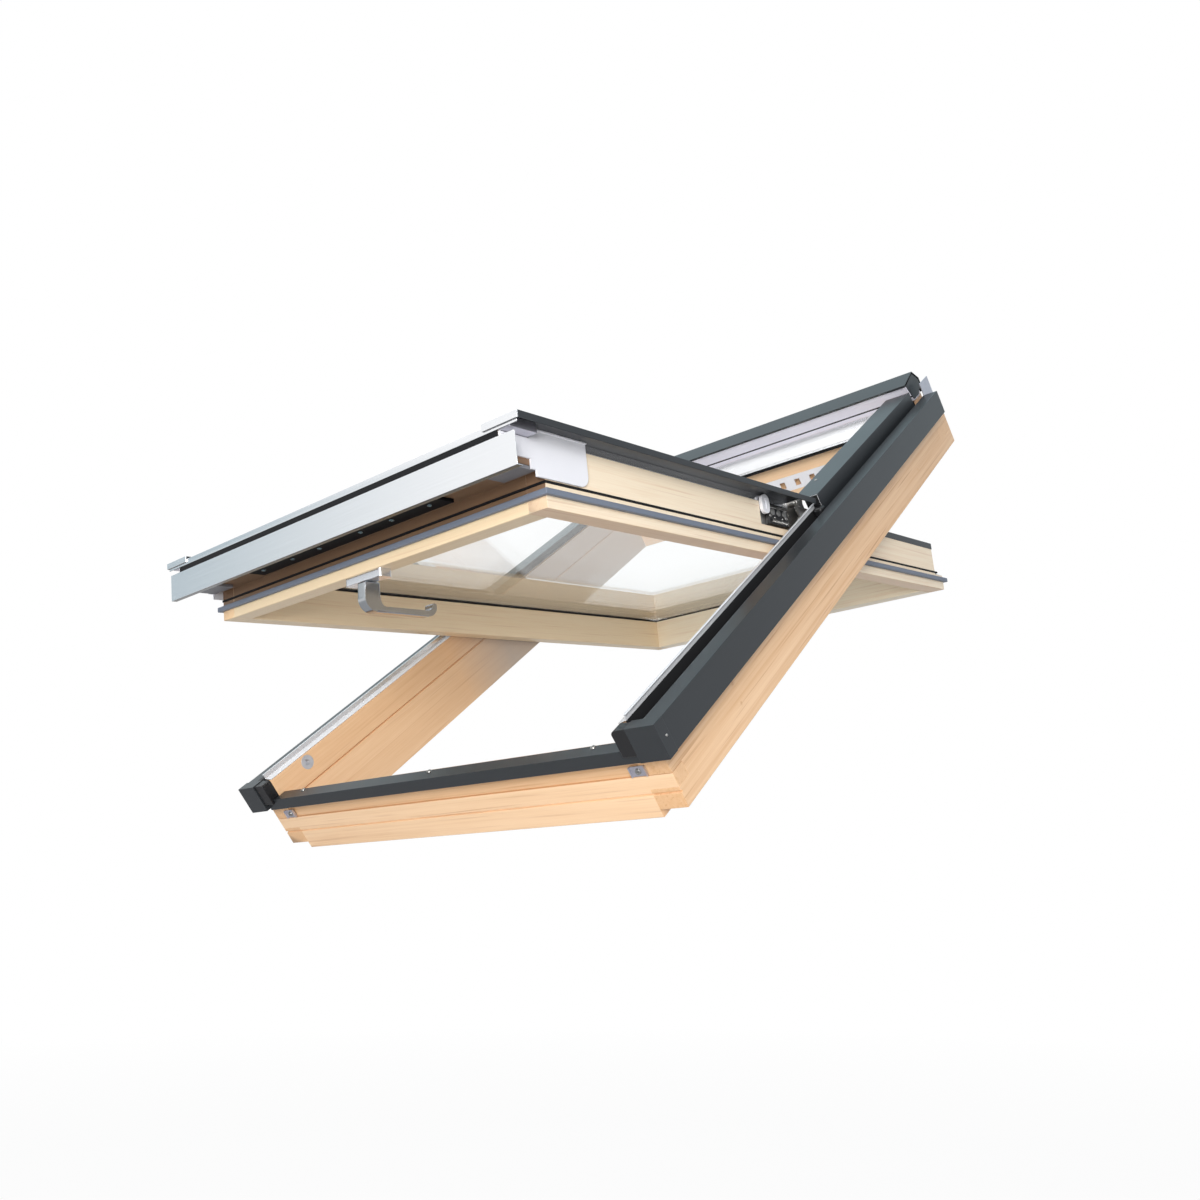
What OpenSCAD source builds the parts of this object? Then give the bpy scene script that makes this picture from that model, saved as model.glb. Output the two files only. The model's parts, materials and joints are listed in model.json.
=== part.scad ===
// Centre-pivot timber roof window with its frame, shown ajar in a pitched roof.
// Every module draws in the closed window's own frame: x across, y up the slope, z out of the roof.

/* [Roof and opening] */
// Pitch of the roof that the window lies in, degrees
roof_pitch = 41; // [15:1:75]
// How far the sash stands open from closed, degrees
open_angle = 32.3; // [5:0.1:60]
// How far the sash turns from closed to its cleaning position, degrees
clean_angle = 166.5; // [150:0.5:168]

/* [Frame] */
// Outer width of the timber frame
frame_w = 780; // [660:10:1140]
// Outer length of the timber frame, up the slope
frame_l = 1180; // [980:10:1600]
// Thickness of a jamb, across the window
jamb_t = 41; // [38:1:50]
// Height of the frame timber, room face to top
jamb_h = 126; // [122:1:128]
// Width of the low ledge along the top of a jamb
ledge_w = 28; // [24:1:30]
// How far that ledge lies below the top
ledge_drop = 14; // [10:1:18]
// Height of the room-side lip of the frame
lip_h = 11; // [6:1:16]
// How far the lip is set in from the outer face
lip_in = 16; // [8:1:20]
// Thickness of the bottom rail
sill_t = 24; // [20:1:26]
// Thickness of the upright front of the bottom rail
sill_front_t = 14; // [10:1:16]
// How far the bottom rail's back step lies below the jambs' top
sill_step_h = 70; // [69:1:86]
// How far the bottom rail's top lies below the jambs' top
sill_h = 28; // [26:1:36]
// Thickness of the top rail
head_t = 62; // [56:1:66]
// How far the top rail's nose reaches down the slope
head_nose = 22; // [14:1:23]
// How far the underside of that nose lies below the jambs' top
nose_z = 30.5; // [30:0.5:33]
// Height of the nose's upright front edge
nose_edge = 4.5; // [3:0.5:6]
// Width and depth of the shadow groove in the timber faces
shadow_groove = 2.5; // [1:0.5:3]
// Height of the shadow groove on the front
front_groove_z = 31; // [24:1:36]
// How far the shadow groove on the jambs' inner faces lies below their top
jamb_groove_z = 46; // [36:1:56]
// Lowest height of the through tongue at each corner
tongue_z = 38.5; // [36:0.5:42]
// Height of that tongue
tongue_h = 19; // [12:1:22]
// Depth of the bottom rail's recessed upper face
sill_recess = 2; // [1:0.5:4]

/* [Frame covers] */
// Thickness of the folded cover sheet
sheet_t = 1.2; // [0.8:0.1:1.5]
// How far the side cladding stands out from the timber
clad_out = 22; // [18:1:30]
// Width of the side cladding's top strip
clad_strip = 31; // [24:1:33]
// How far the side cladding's top lies above the jambs' top
clad_top = 2; // [1.5:0.5:4]
// How far the side cladding's lower edge lies below the jambs' top
clad_low = 41.3; // [34:0.1:48]
// Radius of the side cladding's bend into the channel
channel_bend = 7; // [4:0.5:9]
// How far the channel's inner edge lies above the jambs' top
channel_edge = 3.5; // [2:0.5:5]
// How far the side cladding stops short of the timber's top end
clad_short = 54; // [40:1:70]
// How far the end caps stand in front of the timber
cap_out = 18.5; // [14:0.5:24]
// How far the bright upstand's top edge lies above the jambs' top
upstand_top = 11; // [8:0.5:14]
// How far its foot rises towards the channel
upstand_rise = 4; // [2:0.5:6]
// How far the bottom rail's cladding stands in front of the timber
sill_clad_out = 12; // [8:1:13]
// How far that cladding's lower edge lies below the jambs' top
sill_clad_low = 44.5; // [40:0.5:54]
// How far that cladding reaches back over the rail
sill_clad_back = 10.5; // [6:0.5:13]
// Outer edge of the pivoting and fixed side covers, beyond the timber's inner face
cover_reach = 26; // [22:1:28]
// Inner edge of the fixed side covers, in from the timber's inner face
cover_in = 21; // [12:1:26]
// How far the fixed side covers' top lies above the jambs' top
cover_top = 22.9; // [22:0.1:23.2]
// How far the head cover's ridge lies above the jambs' top
head_ridge_z = 46; // [40:1:54]
// How far the head cover's front lip lies above the jambs' top
head_lip_z = 37; // [32:1:39]
// How far the head cover's ridge lies behind the top rail's lower face
ridge_back = 34; // [28:1:40]
// How far the head cover's back edge lies behind that face
head_back = 57; // [52:1:60]
// Height of the step at the head cover's back
head_fall = 19; // [14:1:24]
// Width of the gutter's turned-up back edge
gutter_hook_w = 8; // [4:1:12]
// Height of that edge
gutter_hook_h = 6; // [4:1:10]
// Distance of the channel's screw from the front
channel_screw_y = 115; // [60:1:300]
// Distance of the fixed side cover's screw above the pivot
cover_screw_y = 99; // [40:1:300]
// Number of openings in the vent grille
vent_count = 17; // [9:2:17]
// Spacing of those openings
vent_pitch = 35; // [30:1:36]
// How far the row of openings lies off the middle
vent_offset = 9.5; // [0:0.5:12]
// Width of one opening
vent_w = 12; // [8:1:20]
// Height of one opening
vent_h = 14; // [8:1:18]
// Height of the openings' middle
vent_z = 42; // [41:0.5:46]
// Height of the slot in the timber behind the grille
vent_slot_h = 26; // [22:1:27]
// Depth of that slot
vent_slot_deep = 12; // [6:1:24]

/* [Fixing holes] */
// Radius of a bracket screw hole in a jamb
fix_r = 2.5; // [1.5:0.1:3]
// Depth of a bracket screw hole
fix_deep = 25; // [15:1:30]
// Distance of the lower holes from the front
fix_low_y = 174; // [150:1:260]
// Distance of the upper hole from the front
fix_high_y = 958; // [800:1:1000]
// Height of the lower row of holes
fix_low_z = 39.5; // [34:0.5:48]
// Height of the upper row of holes
fix_high_z = 67.5; // [60:0.5:76]

/* [Pivot] */
// How far the pivot lies below the frame's mid-length
pivot_drop = 6; // [0:1:20]
// How far the pivot axis lies above the jambs' top
pivot_z = 24.5; // [24.5:0.1:27]
// Radius of the pivot pin
pin_r = 6; // [4:0.5:7]
// Running clearance of the pins, radial
run_gap = 0.06; // [0.03:0.01:0.1]
// Radius of the hinge ears
ear_r = 11; // [9.5:0.5:12]
// Thickness of the frame's hinge plate
hinge_t = 3; // [2:0.5:4]
// Gap that the covers leave on each side of the pivot
cover_gap = 14.5; // [13:0.5:18]
// How far the hinge's mortise in the stile reaches below the pivot
mortise_down = 102; // [98:1:110]
// How far that mortise reaches above the pivot
mortise_up = 38; // [34:1:44]
// Height of that mortise
mortise_h = 35; // [32:1:38]
// Distance of the brake's lever below the pivot
brake_lever_y = 92; // [90:1:94]
// Distance of the brake block's lower end below the pivot
friction_low = 80; // [76:1:81]
// Distance of the brake block's upper end below the pivot
friction_high = 27; // [26:1:30]
// Radius of the brake's buttons
button_r = 5; // [3:0.5:6]

/* [Sash] */
// Gap between the sash timber and the frame timber
sash_gap = 7; // [6:0.5:9]
// How far the sash's room face lies below the jambs' top
sash_low = 65; // [64:0.5:66]
// How far the sash timber's top lies above the jambs' top
sash_top = 13; // [11:0.5:13]
// How far the lip along the sash's upper end lies below the jambs' top
sash_lip_z = 38; // [37.5:0.5:40]
// Width of a stile
stile_w = 30; // [28:1:40]
// Width of the glass ledge
ledge_in = 15; // [10:1:17]
// How far the glass ledge lies below the jambs' top
glass_ledge_z = 7; // [7:0.5:10]
// Where the sash timber's lower end lies behind the front
sash_y0 = 31; // [31:0.5:34]
// How far the sash's lower nose stands in front of the frame
nose_out = 36.6; // [34:0.2:40]
// How far that nose's underside lies below the jambs' top
nose_low = 20; // [16:0.5:20]
// How far the outer part of the sash stops short of its lip
top_setback = 23; // [22:0.5:26]
// How far the stiles' outer part stops short of the top cheek
stile_cut = 8.5; // [0:0.5:9]
// Thickness of the sash's top cheek
top_cheek = 5; // [4:0.5:6]
// How far the low edge of the black gasket's groove lies below the jambs' top
gasket_z = 36; // [34:0.5:37]
// Height of that groove
gasket_h = 3; // [2:0.5:6]
// Depth of that groove
gasket_deep = 2.5; // [1.5:0.5:3]
// How far the low edge of the lip seal lies below the jambs' top
seal_z = 51; // [50:0.5:52.5]
// Height of the lip seal
seal_h = 7.5; // [5:0.5:8]
// Clearance between the lip seal and the frame
seal_clear = 0.5; // [0.4:0.1:1]

/* [Glazing and covers of the sash] */
// Thickness of one pane
pane_t = 4; // [3:0.5:4]
// Width of the gap between the panes
pane_gap = 16; // [12:1:16]
// Thickness of the glazing gasket under the glass
bed_t = 2; // [1:0.5:2]
// Gap around the glass edge
glass_edge = 1; // [0.5:0.5:2]
// How far the pivoting side covers' top lies above the jambs' top
lower_cover_top = 24.2; // [23.9:0.1:24.4]
// How far their outer lower edge lies above the jambs' top
lower_cover_low = 15.4; // [13:0.1:19]
// Half-width of the glass that the covers leave clear, in from the stile
bead_in = 22; // [18:1:26]
// Height of the large front plate
plate_h = 39.2; // [30:0.2:40]
// How far the plate's lower edge lies below the jambs' top
plate_low = 34.5; // [26:0.5:37]
// How far the plate reaches beyond the sash timber on each side
plate_wing = 25.6; // [20:0.2:27]
// Length of the clips under the swinging covers' front ends
corner_clip_l = 42; // [30:1:60]
// Width of those clips
corner_clip_w = 18; // [12:1:22]
// Length of the lock rail
lock_l = 410; // [380:2:440]
// Distance of the lock rail's middle from the front of the frame
lock_y = 1; // [-2:0.5:2]
// Distance of the lock rail's inner screws from its middle
lock_screw_in = 45; // [30:1:60]
// Distance of its next screws from the middle
lock_screw_mid = 108; // [90:1:130]
// Distance of its outer screws from the middle
lock_screw_out = 180; // [150:1:184]
// Width of the lock rail
lock_w = 34; // [24:1:36]
// Thickness of the lock rail
lock_t = 4.4; // [3:0.2:5]

/* [Handle] */
// Length of the handle's rose
rose_l = 76; // [60:1:100]
// Width of the rose
rose_w = 20; // [18:1:22]
// Thickness of the rose
rose_t = 11; // [8:1:16]
// Distance of the spindle from the front
spindle_y = 43; // [42:0.5:46]
// Radius of the spindle
spindle_r = 6; // [4:0.5:7]
// Reach of the lever from the spindle
lever_l = 108; // [80:1:130]
// Drop of the lever below the sash's room face
lever_drop = 52; // [40:1:52]
// Thickness of the lever
lever_t = 8; // [6:0.5:10]
// Width of the lever
lever_w = 16; // [12:1:18]

/* [Cleaning bolt] */
// Radius of the cleaning bolt
bolt_r = 4; // [3:0.5:4.5]
// Distance of the bolt below the sash timber's upper end
bolt_in = 19; // [16:0.5:22]
// Height of the bolt above the sash's room face
bolt_up = 7; // [6:0.5:8]
// Travel of the bolt
bolt_travel = 12; // [9:1:14]
// Radius of the bolt's bush in the jamb
bush_r = 11.5; // [8:0.5:11.5]

/* [Hidden] */
$fn = 48;
eps = 0.01;
ease = 1;
fit_gap = 0.5;
upstand_hook = 4;
shank_r = 2;
hole_r = 2.1;
step_z = jamb_h - sill_step_h;
sill_z = jamb_h - sill_h;
nose_under_z = jamb_h - nose_z;
jamb_line_z = jamb_h - jamb_groove_z;
clad_z1 = jamb_h + clad_top;
clad_z0 = jamb_h - clad_low;
upstand_z = jamb_h + upstand_top;
sill_clad_z0 = jamb_h - sill_clad_low;
cover_z = jamb_h + cover_top;
ridge_z = jamb_h + head_ridge_z;
head_front_z = jamb_h + head_lip_z;
axis_z = jamb_h + pivot_z;
sash_z0 = jamb_h - sash_low;
sash_z1 = jamb_h + sash_top;
sash_step_z = jamb_h - sash_lip_z;
bed_z = jamb_h - glass_ledge_z;
nose_z0 = jamb_h - nose_low;
gasket_z0 = jamb_h - gasket_z;
seal_z0 = jamb_h - seal_z;
lower_cover_z1 = jamb_h + lower_cover_top;
lower_cover_z0 = jamb_h + lower_cover_low;
plate_z0 = jamb_h - plate_low;
half_w = frame_w / 2;
inner_x = half_w - jamb_t;
ledge_x = half_w - ledge_w;
ledge_z = jamb_h - ledge_drop;
head_y = frame_l - head_t;
nose_y = head_y - head_nose;
clad_x = half_w + clad_out;
strip_x = clad_x - clad_strip;
clad_end = frame_l - clad_short;
cover_x = inner_x + cover_reach;
upper_cover_x = inner_x - cover_in;
sill_clad_top = sill_z + sheet_t;
block_x = cover_x - 4;
channel_x = (strip_x + ledge_x) / 2;
origin_y = sill_t / 2;
pivot_y = frame_l / 2 - pivot_drop;
sash_x = inner_x - sash_gap;
sash_y1 = head_y - sash_gap;
outer_y1 = sash_y1 - top_setback;
stile_y1 = outer_y1 - stile_cut;
stile_in = sash_x - stile_w;
rebate_x = stile_in + ledge_in;
rail_in_y = sash_y0 + stile_w;
rebate_y0 = rail_in_y - ledge_in;
rebate_y1 = outer_y1 - top_cheek;
sight_y1 = rebate_y1 - 9;
glass_x = rebate_x - glass_edge;
glass_y0 = rebate_y0 + glass_edge;
glass_y1 = rebate_y1 - glass_edge;
glass_z = bed_z + bed_t;
glass_top = glass_z + 2 * pane_t + pane_gap;
bead_x = sash_x - bead_in;
front_y = -nose_out - sheet_t;
lower_cover_y1 = pivot_y - cover_gap;
upper_cover_y0 = pivot_y + cover_gap + 1.5;
upper_cover_y1 = nose_y - 4;
plate_x = sash_x + plate_wing;
seal_out = sash_gap - seal_clear;
mortise_y0 = pivot_y - mortise_down;
mortise_y1 = pivot_y + mortise_up;
mortise_z = sash_z1 - mortise_h;
mortise_deep = 10;
plate_in_x = sash_x - mortise_deep;
plate_out_x = plate_in_x + 4;
friction_x = sash_x + 1;
frame_plate_x = inner_x - hinge_t;
hinge_half = 26;
hinge_low = axis_z - 52;
hinge_screws = [[-18, 7], [18, 7], [-18, 20], [18, 20]];
sash_hinge_screws = [[8 - mortise_down, 7], [-16, 10], [-16, 26], [20, 10], [20, 26]];
sill_screw_x = [for (i = [-1:1]) i * (inner_x - 56)];
sill_screw_y = sill_clad_back - 4;
cover_screw_at = [upper_cover_x + 12, pivot_y + cover_screw_y];
clip_x = inner_x - 2;
clip_half = 11.5;
clip_t = 1.6;
clip_z = [tongue_z + tongue_h + 1, tongue_z + tongue_h + 14.5];
lock_y0 = lock_y - lock_w / 2;
lock_y1 = lock_y + lock_w / 2;
lock_screw_x = [lock_screw_in, lock_screw_mid, lock_screw_out];
strip_z = sash_z1 - 1;
cover_under = lower_cover_z1 - sheet_t;
spindle_in = 22;
bolt_l = 44;
slot_x = -stile_in - 20;
bolt_y = sash_y1 - bolt_in;
bolt_z = sash_z0 + bolt_up;
bush_y = pivot_y + cos(clean_angle) * (bolt_y - pivot_y) + sin(clean_angle) * (bolt_z - axis_z);
bush_z = axis_z - sin(clean_angle) * (bolt_y - pivot_y) + cos(clean_angle) * (bolt_z - axis_z);
bush_deep = jamb_t - ledge_w - 2;
bush_at = [[bush_y, bush_z], [bolt_y, bolt_z]];
lever_z = sash_z0 - lever_drop;
timber = [0.93, 0.78, 0.58];
anthracite = [0.30, 0.33, 0.35];
silver = [0.78, 0.80, 0.83];
zinc = [0.66, 0.64, 0.68];
black = [0.07, 0.07, 0.08];
pale_plastic = [0.84, 0.84, 0.86];
seal_blue = [0.48, 0.52, 0.58];
steel = [0.62, 0.62, 0.60];

// Lays the closed window into the pitched roof, with the origin at the bottom rail's room face.
module in_roof() {
    rotate([roof_pitch, 0, 0]) translate([0, -origin_y, 0]) children();
}

// Swings the sash open about the pivot axis.
module swung() {
    in_roof()
        translate([0, pivot_y, axis_z]) rotate([-open_angle, 0, 0]) translate([0, -pivot_y, -axis_z])
            children();
}

// Draws a right-hand piece on the side given, 1 for right and -1 for left.
module on_side(s) {
    if (s < 0) mirror([1, 0, 0]) children();
    else children();
}

module both_sides() {
    for (s = [-1, 1]) on_side(s) children();
}

// Extrudes a profile drawn in x and z along y.
module along_y(y0, y1) {
    translate([0, y1, 0]) rotate([90, 0, 0]) linear_extrude(y1 - y0) children();
}

// Extrudes a profile drawn in y and z along x.
module along_x(x0, x1) {
    translate([x0, 0, 0]) rotate([90, 0, 90]) linear_extrude(x1 - x0) children();
}

module block(x, y, z) {
    translate([x[0], y[0], z[0]]) cube([x[1] - x[0], y[1] - y[0], z[1] - z[0]]);
}

module pin_x(x, y, z, r) {
    translate([x[0], y, z]) rotate([0, 90, 0]) cylinder(h = x[1] - x[0], r = r);
}

module pin_y(x, y, z, r) {
    translate([x, y[1], z]) rotate([90, 0, 0]) cylinder(h = y[1] - y[0], r = r);
}

module pin_z(x, y, z, r) {
    translate([x, y, z[0]]) cylinder(h = z[1] - z[0], r = r);
}

// A screw head with a cross-cut slot, standing on z = 0.
module screw_head(r, h) {
    difference() {
        cylinder(h = h, r1 = r, r2 = r * 0.8);
        for (a = [0, 90]) rotate(a) translate([-r * 0.6, -r * 0.12, h * 0.4]) cube([r * 1.2, r * 0.24, h]);
    }
}

// A screw through a sheet of thickness t: its head stands on z = 0.
module screw(r, h, t) {
    screw_head(r, h);
    translate([0, 0, -t]) cylinder(h = t + eps, r = shank_r);
}

function unit(v) = v / norm(v);
function left_of(a, b) = let (d = unit(b - a)) [-d[1], d[0]];
function miter(p, i) =
    i == 0 ? left_of(p[0], p[1])
    : i == len(p) - 1 ? left_of(p[i - 1], p[i])
    : let (m = left_of(p[i - 1], p[i]), n = left_of(p[i], p[i + 1])) (m + n) / (1 + m * n);
function reversed(p) = [for (i = [len(p) - 1:-1:0]) p[i]];

// A folded sheet: the line p, thickened by t to its left.
module sheet(p, t) {
    polygon(concat(p, reversed([for (i = [0:len(p) - 1]) p[i] + t * miter(p, i)])));
}

// A timber profile with its corners eased by c.
module eased(p, c) {
    n = len(p);
    polygon([for (i = [0:n - 1], k = [-1, 1]) p[i] + c * unit(p[(i + k + n) % n] - p[i])]);
}

module round_rect(size, r) {
    for (x = [r, size[0] - r], y = [r, size[1] - r]) translate([x, y]) circle(r);
    translate([r, 0]) square([size[0] - 2 * r, size[1]]);
    translate([0, r]) square([size[0], size[1] - 2 * r]);
}

// Frame timber

module jamb_profile() {
    eased([[half_w, lip_h], [half_w, ledge_z], [ledge_x, ledge_z], [ledge_x, jamb_h], [inner_x, jamb_h],
           [inner_x, lip_h]], ease);
}

// The jamb without its bush: outer part full length, room-side lip between the rails.
module jamb() {
    color(timber) difference() {
        union() {
            along_y(0, frame_l) jamb_profile();
            block([inner_x, half_w - lip_in], [sill_t, head_y], [0, lip_h + 2 * ease]);
        }
        block([inner_x - eps, half_w + eps], [-eps, sill_t], [tongue_z, tongue_z + tongue_h]);
        block([inner_x - eps, half_w + eps], [head_y, frame_l + eps], [tongue_z, tongue_z + tongue_h]);
        block([inner_x - eps, inner_x + shadow_groove], [sill_t, head_y],
              [jamb_line_z, jamb_line_z + shadow_groove]);
        block([inner_x - eps, half_w + eps], [-eps, shadow_groove],
              [front_groove_z, front_groove_z + shadow_groove]);
        for (p = [[fix_low_y, fix_low_z], [fix_low_y, fix_high_z], [fix_high_y, fix_low_z]])
            pin_x([half_w - fix_deep, half_w + eps], p[0], p[1], fix_r);
    }
}

module left_jamb() {
    in_roof() difference() {
        on_side(-1) jamb();
        for (p = bush_at) pin_x([-inner_x - bush_deep, -inner_x + eps], p[0], p[1], bush_r);
    }
}

module right_jamb() {
    in_roof() jamb();
}

// Tongues that run through the jambs to their outer faces.
module tongues(y) {
    both_sides() block([inner_x - eps, half_w], y, [tongue_z, tongue_z + tongue_h]);
}

module bottom_rail() {
    recess_z = tongue_z + tongue_h;
    color(timber) in_roof() union() {
        along_x(-inner_x, inner_x) difference() {
            eased([[0, 0], [sill_t, 0], [sill_t, step_z], [sill_front_t, step_z],
                   [sill_front_t, sill_z], [sill_recess, sill_z], [sill_recess, recess_z], [0, recess_z]],
                  ease);
            translate([-eps, front_groove_z]) square([shadow_groove, shadow_groove]);
        }
        tongues([0, sill_t]);
    }
}

module top_rail() {
    color(timber) in_roof() union() {
        along_x(-inner_x, inner_x) difference() {
            polygon([[head_y, 0], [frame_l - lip_in, 0], [frame_l - lip_in, lip_h], [frame_l, lip_h],
                     [frame_l, jamb_h], [head_y, jamb_h], [nose_y, nose_under_z + nose_edge],
                     [nose_y, nose_under_z], [head_y, nose_under_z]]);
            translate([head_y - eps, front_groove_z]) square([vent_slot_deep, vent_slot_h]);
        }
        tongues([head_y, frame_l]);
    }
}

// Frame covers

module side_cladding(s) {
    r = channel_bend;
    edge_x = ledge_x + 2 * sheet_t;
    outer = [[clad_x, clad_z0], [clad_x, clad_z1], [strip_x + r, clad_z1]];
    bend = [for (a = [15:15:90]) [strip_x + r - r * sin(a), clad_z1 - r + r * cos(a)]];
    channel = [[strip_x, ledge_z + sheet_t], [edge_x, ledge_z + sheet_t], [edge_x, jamb_h + channel_edge]];
    color(anthracite) in_roof() on_side(s) difference() {
        union() {
            along_y(0, clad_end) sheet(concat(outer, bend, channel), sheet_t);
            along_y(-cap_out + sheet_t, eps) sheet(outer, sheet_t);
        }
        pin_z(channel_x, channel_screw_y, [ledge_z - 1, ledge_z + sheet_t + 1], hole_r);
        block([ledge_x, strip_x], [head_y - head_nose, clad_end + 1], [jamb_h - 1, jamb_h + channel_edge + 1]);
    }
}

module left_side_cladding() side_cladding(-1);
module right_side_cladding() side_cladding(1);

// Cap over the front end of the side cladding, open below and behind.
module end_cap(s) {
    color(anthracite) in_roof() on_side(s) difference() {
        block([block_x + 0.5, clad_x + sheet_t], [-cap_out, 0], [clad_z0, clad_z1 + sheet_t]);
        block([block_x + 0.5 + sheet_t, clad_x], [-cap_out + sheet_t, eps], [clad_z0 - eps, clad_z1]);
    }
}

module left_end_cap() end_cap(-1);
module right_end_cap() end_cap(1);

module cap_rivets() {
    color(steel) in_roof() both_sides()
        translate([clad_x + sheet_t, -cap_out / 3, (clad_z0 + clad_z1) / 2 + 2])
            rotate([0, 90, 0]) rotate_extrude() intersection() {
                translate([0, -1.2]) circle(2.2);
                square(3);
            }
}

// Bright strip that lies on the jamb's top and turns up beside the channel.
module upstand(s) {
    foot = [[ledge_x, jamb_h + upstand_rise], [inner_x + fit_gap, jamb_h + sheet_t]];
    color(silver) in_roof() on_side(s) along_y(2, upper_cover_y0 - 1) {
        sheet(foot, sheet_t);
        translate([ledge_x, ledge_z + sheet_t]) square([sheet_t, upstand_z - ledge_z - sheet_t]);
        translate([ledge_x, upstand_z - sheet_t]) square([upstand_hook, sheet_t]);
    }
}

module left_upstand() upstand(-1);
module right_upstand() upstand(1);

// Black blocks that close the corner between the bottom rail's cladding and the end caps.
module corner_blocks() {
    r = 6;
    x0 = inner_x + fit_gap;
    front = -cap_out + 2;
    color(black) in_roof() both_sides() {
        along_y(front, 0) {
            translate([x0, sill_clad_top]) square([block_x - x0, clad_z1 - sill_clad_top - r]);
            translate([x0 + r, sill_clad_top]) square([block_x - x0 - r, clad_z1 - sill_clad_top]);
            translate([x0 + r, clad_z1 - r]) circle(r);
        }
        block([x0, block_x], [front, -sill_clad_out], [sill_clad_top - 6, sill_clad_top + eps]);
    }
}

module sill_cladding() {
    color(anthracite) in_roof() difference() {
        union() {
            along_x(-inner_x + fit_gap, inner_x - fit_gap)
                sheet([[sill_clad_back, sill_clad_top], [-sill_clad_out, sill_clad_top],
                       [-sill_clad_out, sill_clad_z0]], sheet_t);
            both_sides() along_x(inner_x - 1, block_x)
                sheet([[-0.2, sill_clad_top], [-sill_clad_out, sill_clad_top],
                       [-sill_clad_out, sill_clad_z0]], sheet_t);
        }
        for (x = sill_screw_x) pin_z(x, sill_screw_y, [sill_z - 1, sill_clad_top + 1], hole_r);
    }
}

// Zinc clips at the bottom corners that hold the flashing.
module flashing_clips() {
    lip = 4;
    color(zinc) in_roof() both_sides() difference() {
        union() {
            block([clip_x - clip_half, clip_x + clip_half], [-clip_t, 0], clip_z);
            for (x = [clip_x - clip_half, clip_x + clip_half - clip_t])
                block([x, x + clip_t], [-lip, 0], clip_z);
        }
        pin_y(clip_x, [-lip, 1], (clip_z[0] + clip_z[1]) / 2, hole_r);
    }
}

// Screws of the claddings, the corner clips, the fixed side covers and the frame's hinges.
module frame_screws() {
    color(steel) in_roof() {
        for (x = sill_screw_x) translate([x, sill_screw_y, sill_clad_top]) screw(3.6, 1.6, sheet_t);
        both_sides() {
            translate([clip_x, -clip_t, (clip_z[0] + clip_z[1]) / 2]) rotate([90, 0, 0]) screw(4, 2, clip_t);
            translate([channel_x, channel_screw_y, ledge_z + sheet_t]) screw(3.6, 1.6, sheet_t);
            translate([cover_screw_at[0], cover_screw_at[1], cover_z]) screw(3, 0.8, sheet_t);
            for (p = hinge_screws)
                translate([frame_plate_x, pivot_y + p[0], hinge_low + p[1]])
                    rotate([0, -90, 0]) screw(3, 0.8, hinge_t);
        }
    }
}

// Head

module head_cover() {
    lip = 3;
    line = [[nose_y + fit_gap, head_front_z - lip], [nose_y, head_front_z], [head_y + ridge_back, ridge_z],
            [head_y + head_back - 1, ridge_z - head_fall], [head_y + head_back, jamb_h]];
    color(anthracite) in_roof() along_x(-block_x, block_x) sheet(line, sheet_t);
}

module head_gutter() {
    line = [[nose_y + 2, head_front_z - 2], [head_y - 5, jamb_h + 6], [head_y, jamb_h],
            [head_y + ridge_back, jamb_h], [head_y + ridge_back + gutter_hook_w, jamb_h + gutter_hook_h]];
    color(zinc) in_roof() along_x(-block_x + 1, block_x - 1) sheet(line, sheet_t);
}

// Bright sheet down the nose of the top rail.
module head_flashing() {
    edge_z = nose_under_z + nose_edge;
    short = 0.3;
    top_z = edge_z + (jamb_h - edge_z) * (head_nose - short) / head_nose;
    line = [[nose_y, nose_under_z], [nose_y, edge_z], [head_y - short, top_z]];
    color(silver) in_roof() along_x(-inner_x + fit_gap, inner_x - fit_gap) sheet(line, sheet_t);
}

// Black plugs in the ends of the head cover.
module head_plugs() {
    fit = 2;
    color(black) in_roof() both_sides() along_x(block_x - 6, block_x - 1)
        polygon([[nose_y + 5, head_front_z - 3], [head_y + ridge_back - 1, ridge_z - fit],
                 [head_y + head_back - 1 - fit, ridge_z - head_fall - 1],
                 [head_y + head_back - fit, jamb_h + gutter_hook_h + fit + 0.5],
                 [head_y + ridge_back + gutter_hook_w - 1, jamb_h + gutter_hook_h + fit + 0.5],
                 [head_y + ridge_back - 1, jamb_h + fit], [head_y + fit, jamb_h + fit],
                 [head_y - fit, jamb_h + 6]]);
}

// Soft seal under the nose, thicker at its front.
module head_seal() {
    front = nose_y - sheet_t;
    back = head_y - 2;
    low = sash_step_z + 1;
    color(black) in_roof() along_x(-inner_x + 1, inner_x - 1)
        polygon([[front, nose_under_z], [back, nose_under_z], [back, nose_under_z - 2], [front + 8, low],
                 [front, low]]);
}

module vent_grille() {
    t = 2;
    run = (vent_count - 1) * vent_pitch;
    color(pale_plastic) in_roof() difference() {
        block([-inner_x + 4, inner_x - 4], [head_y - t, head_y],
              [front_groove_z - 3, front_groove_z + vent_slot_h + 2]);
        for (i = [0:vent_count - 1])
            translate([vent_offset + i * vent_pitch - (run + vent_w) / 2, head_y - t - 1, vent_z - vent_h / 2])
                cube([vent_w, t + 2, vent_h]);
    }
}

module head_clips() {
    x1 = half_w - 4;
    color(zinc) in_roof() both_sides() along_y(clad_end + 2, frame_l - 3)
        sheet([[ledge_x + 9, ledge_z], [x1, ledge_z], [x1, cover_z + 2]], 1.5);
}

// Covers over the upper half, fixed to the frame.
module upper_cover(s) {
    color(anthracite) in_roof() on_side(s) difference() {
        along_y(upper_cover_y0, upper_cover_y1)
            sheet([[cover_x, ledge_z + sheet_t], [cover_x, cover_z], [upper_cover_x, cover_z]], sheet_t);
        pin_z(cover_screw_at[0], cover_screw_at[1], [cover_z - sheet_t - 1, cover_z + 1], hole_r);
    }
}

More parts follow.
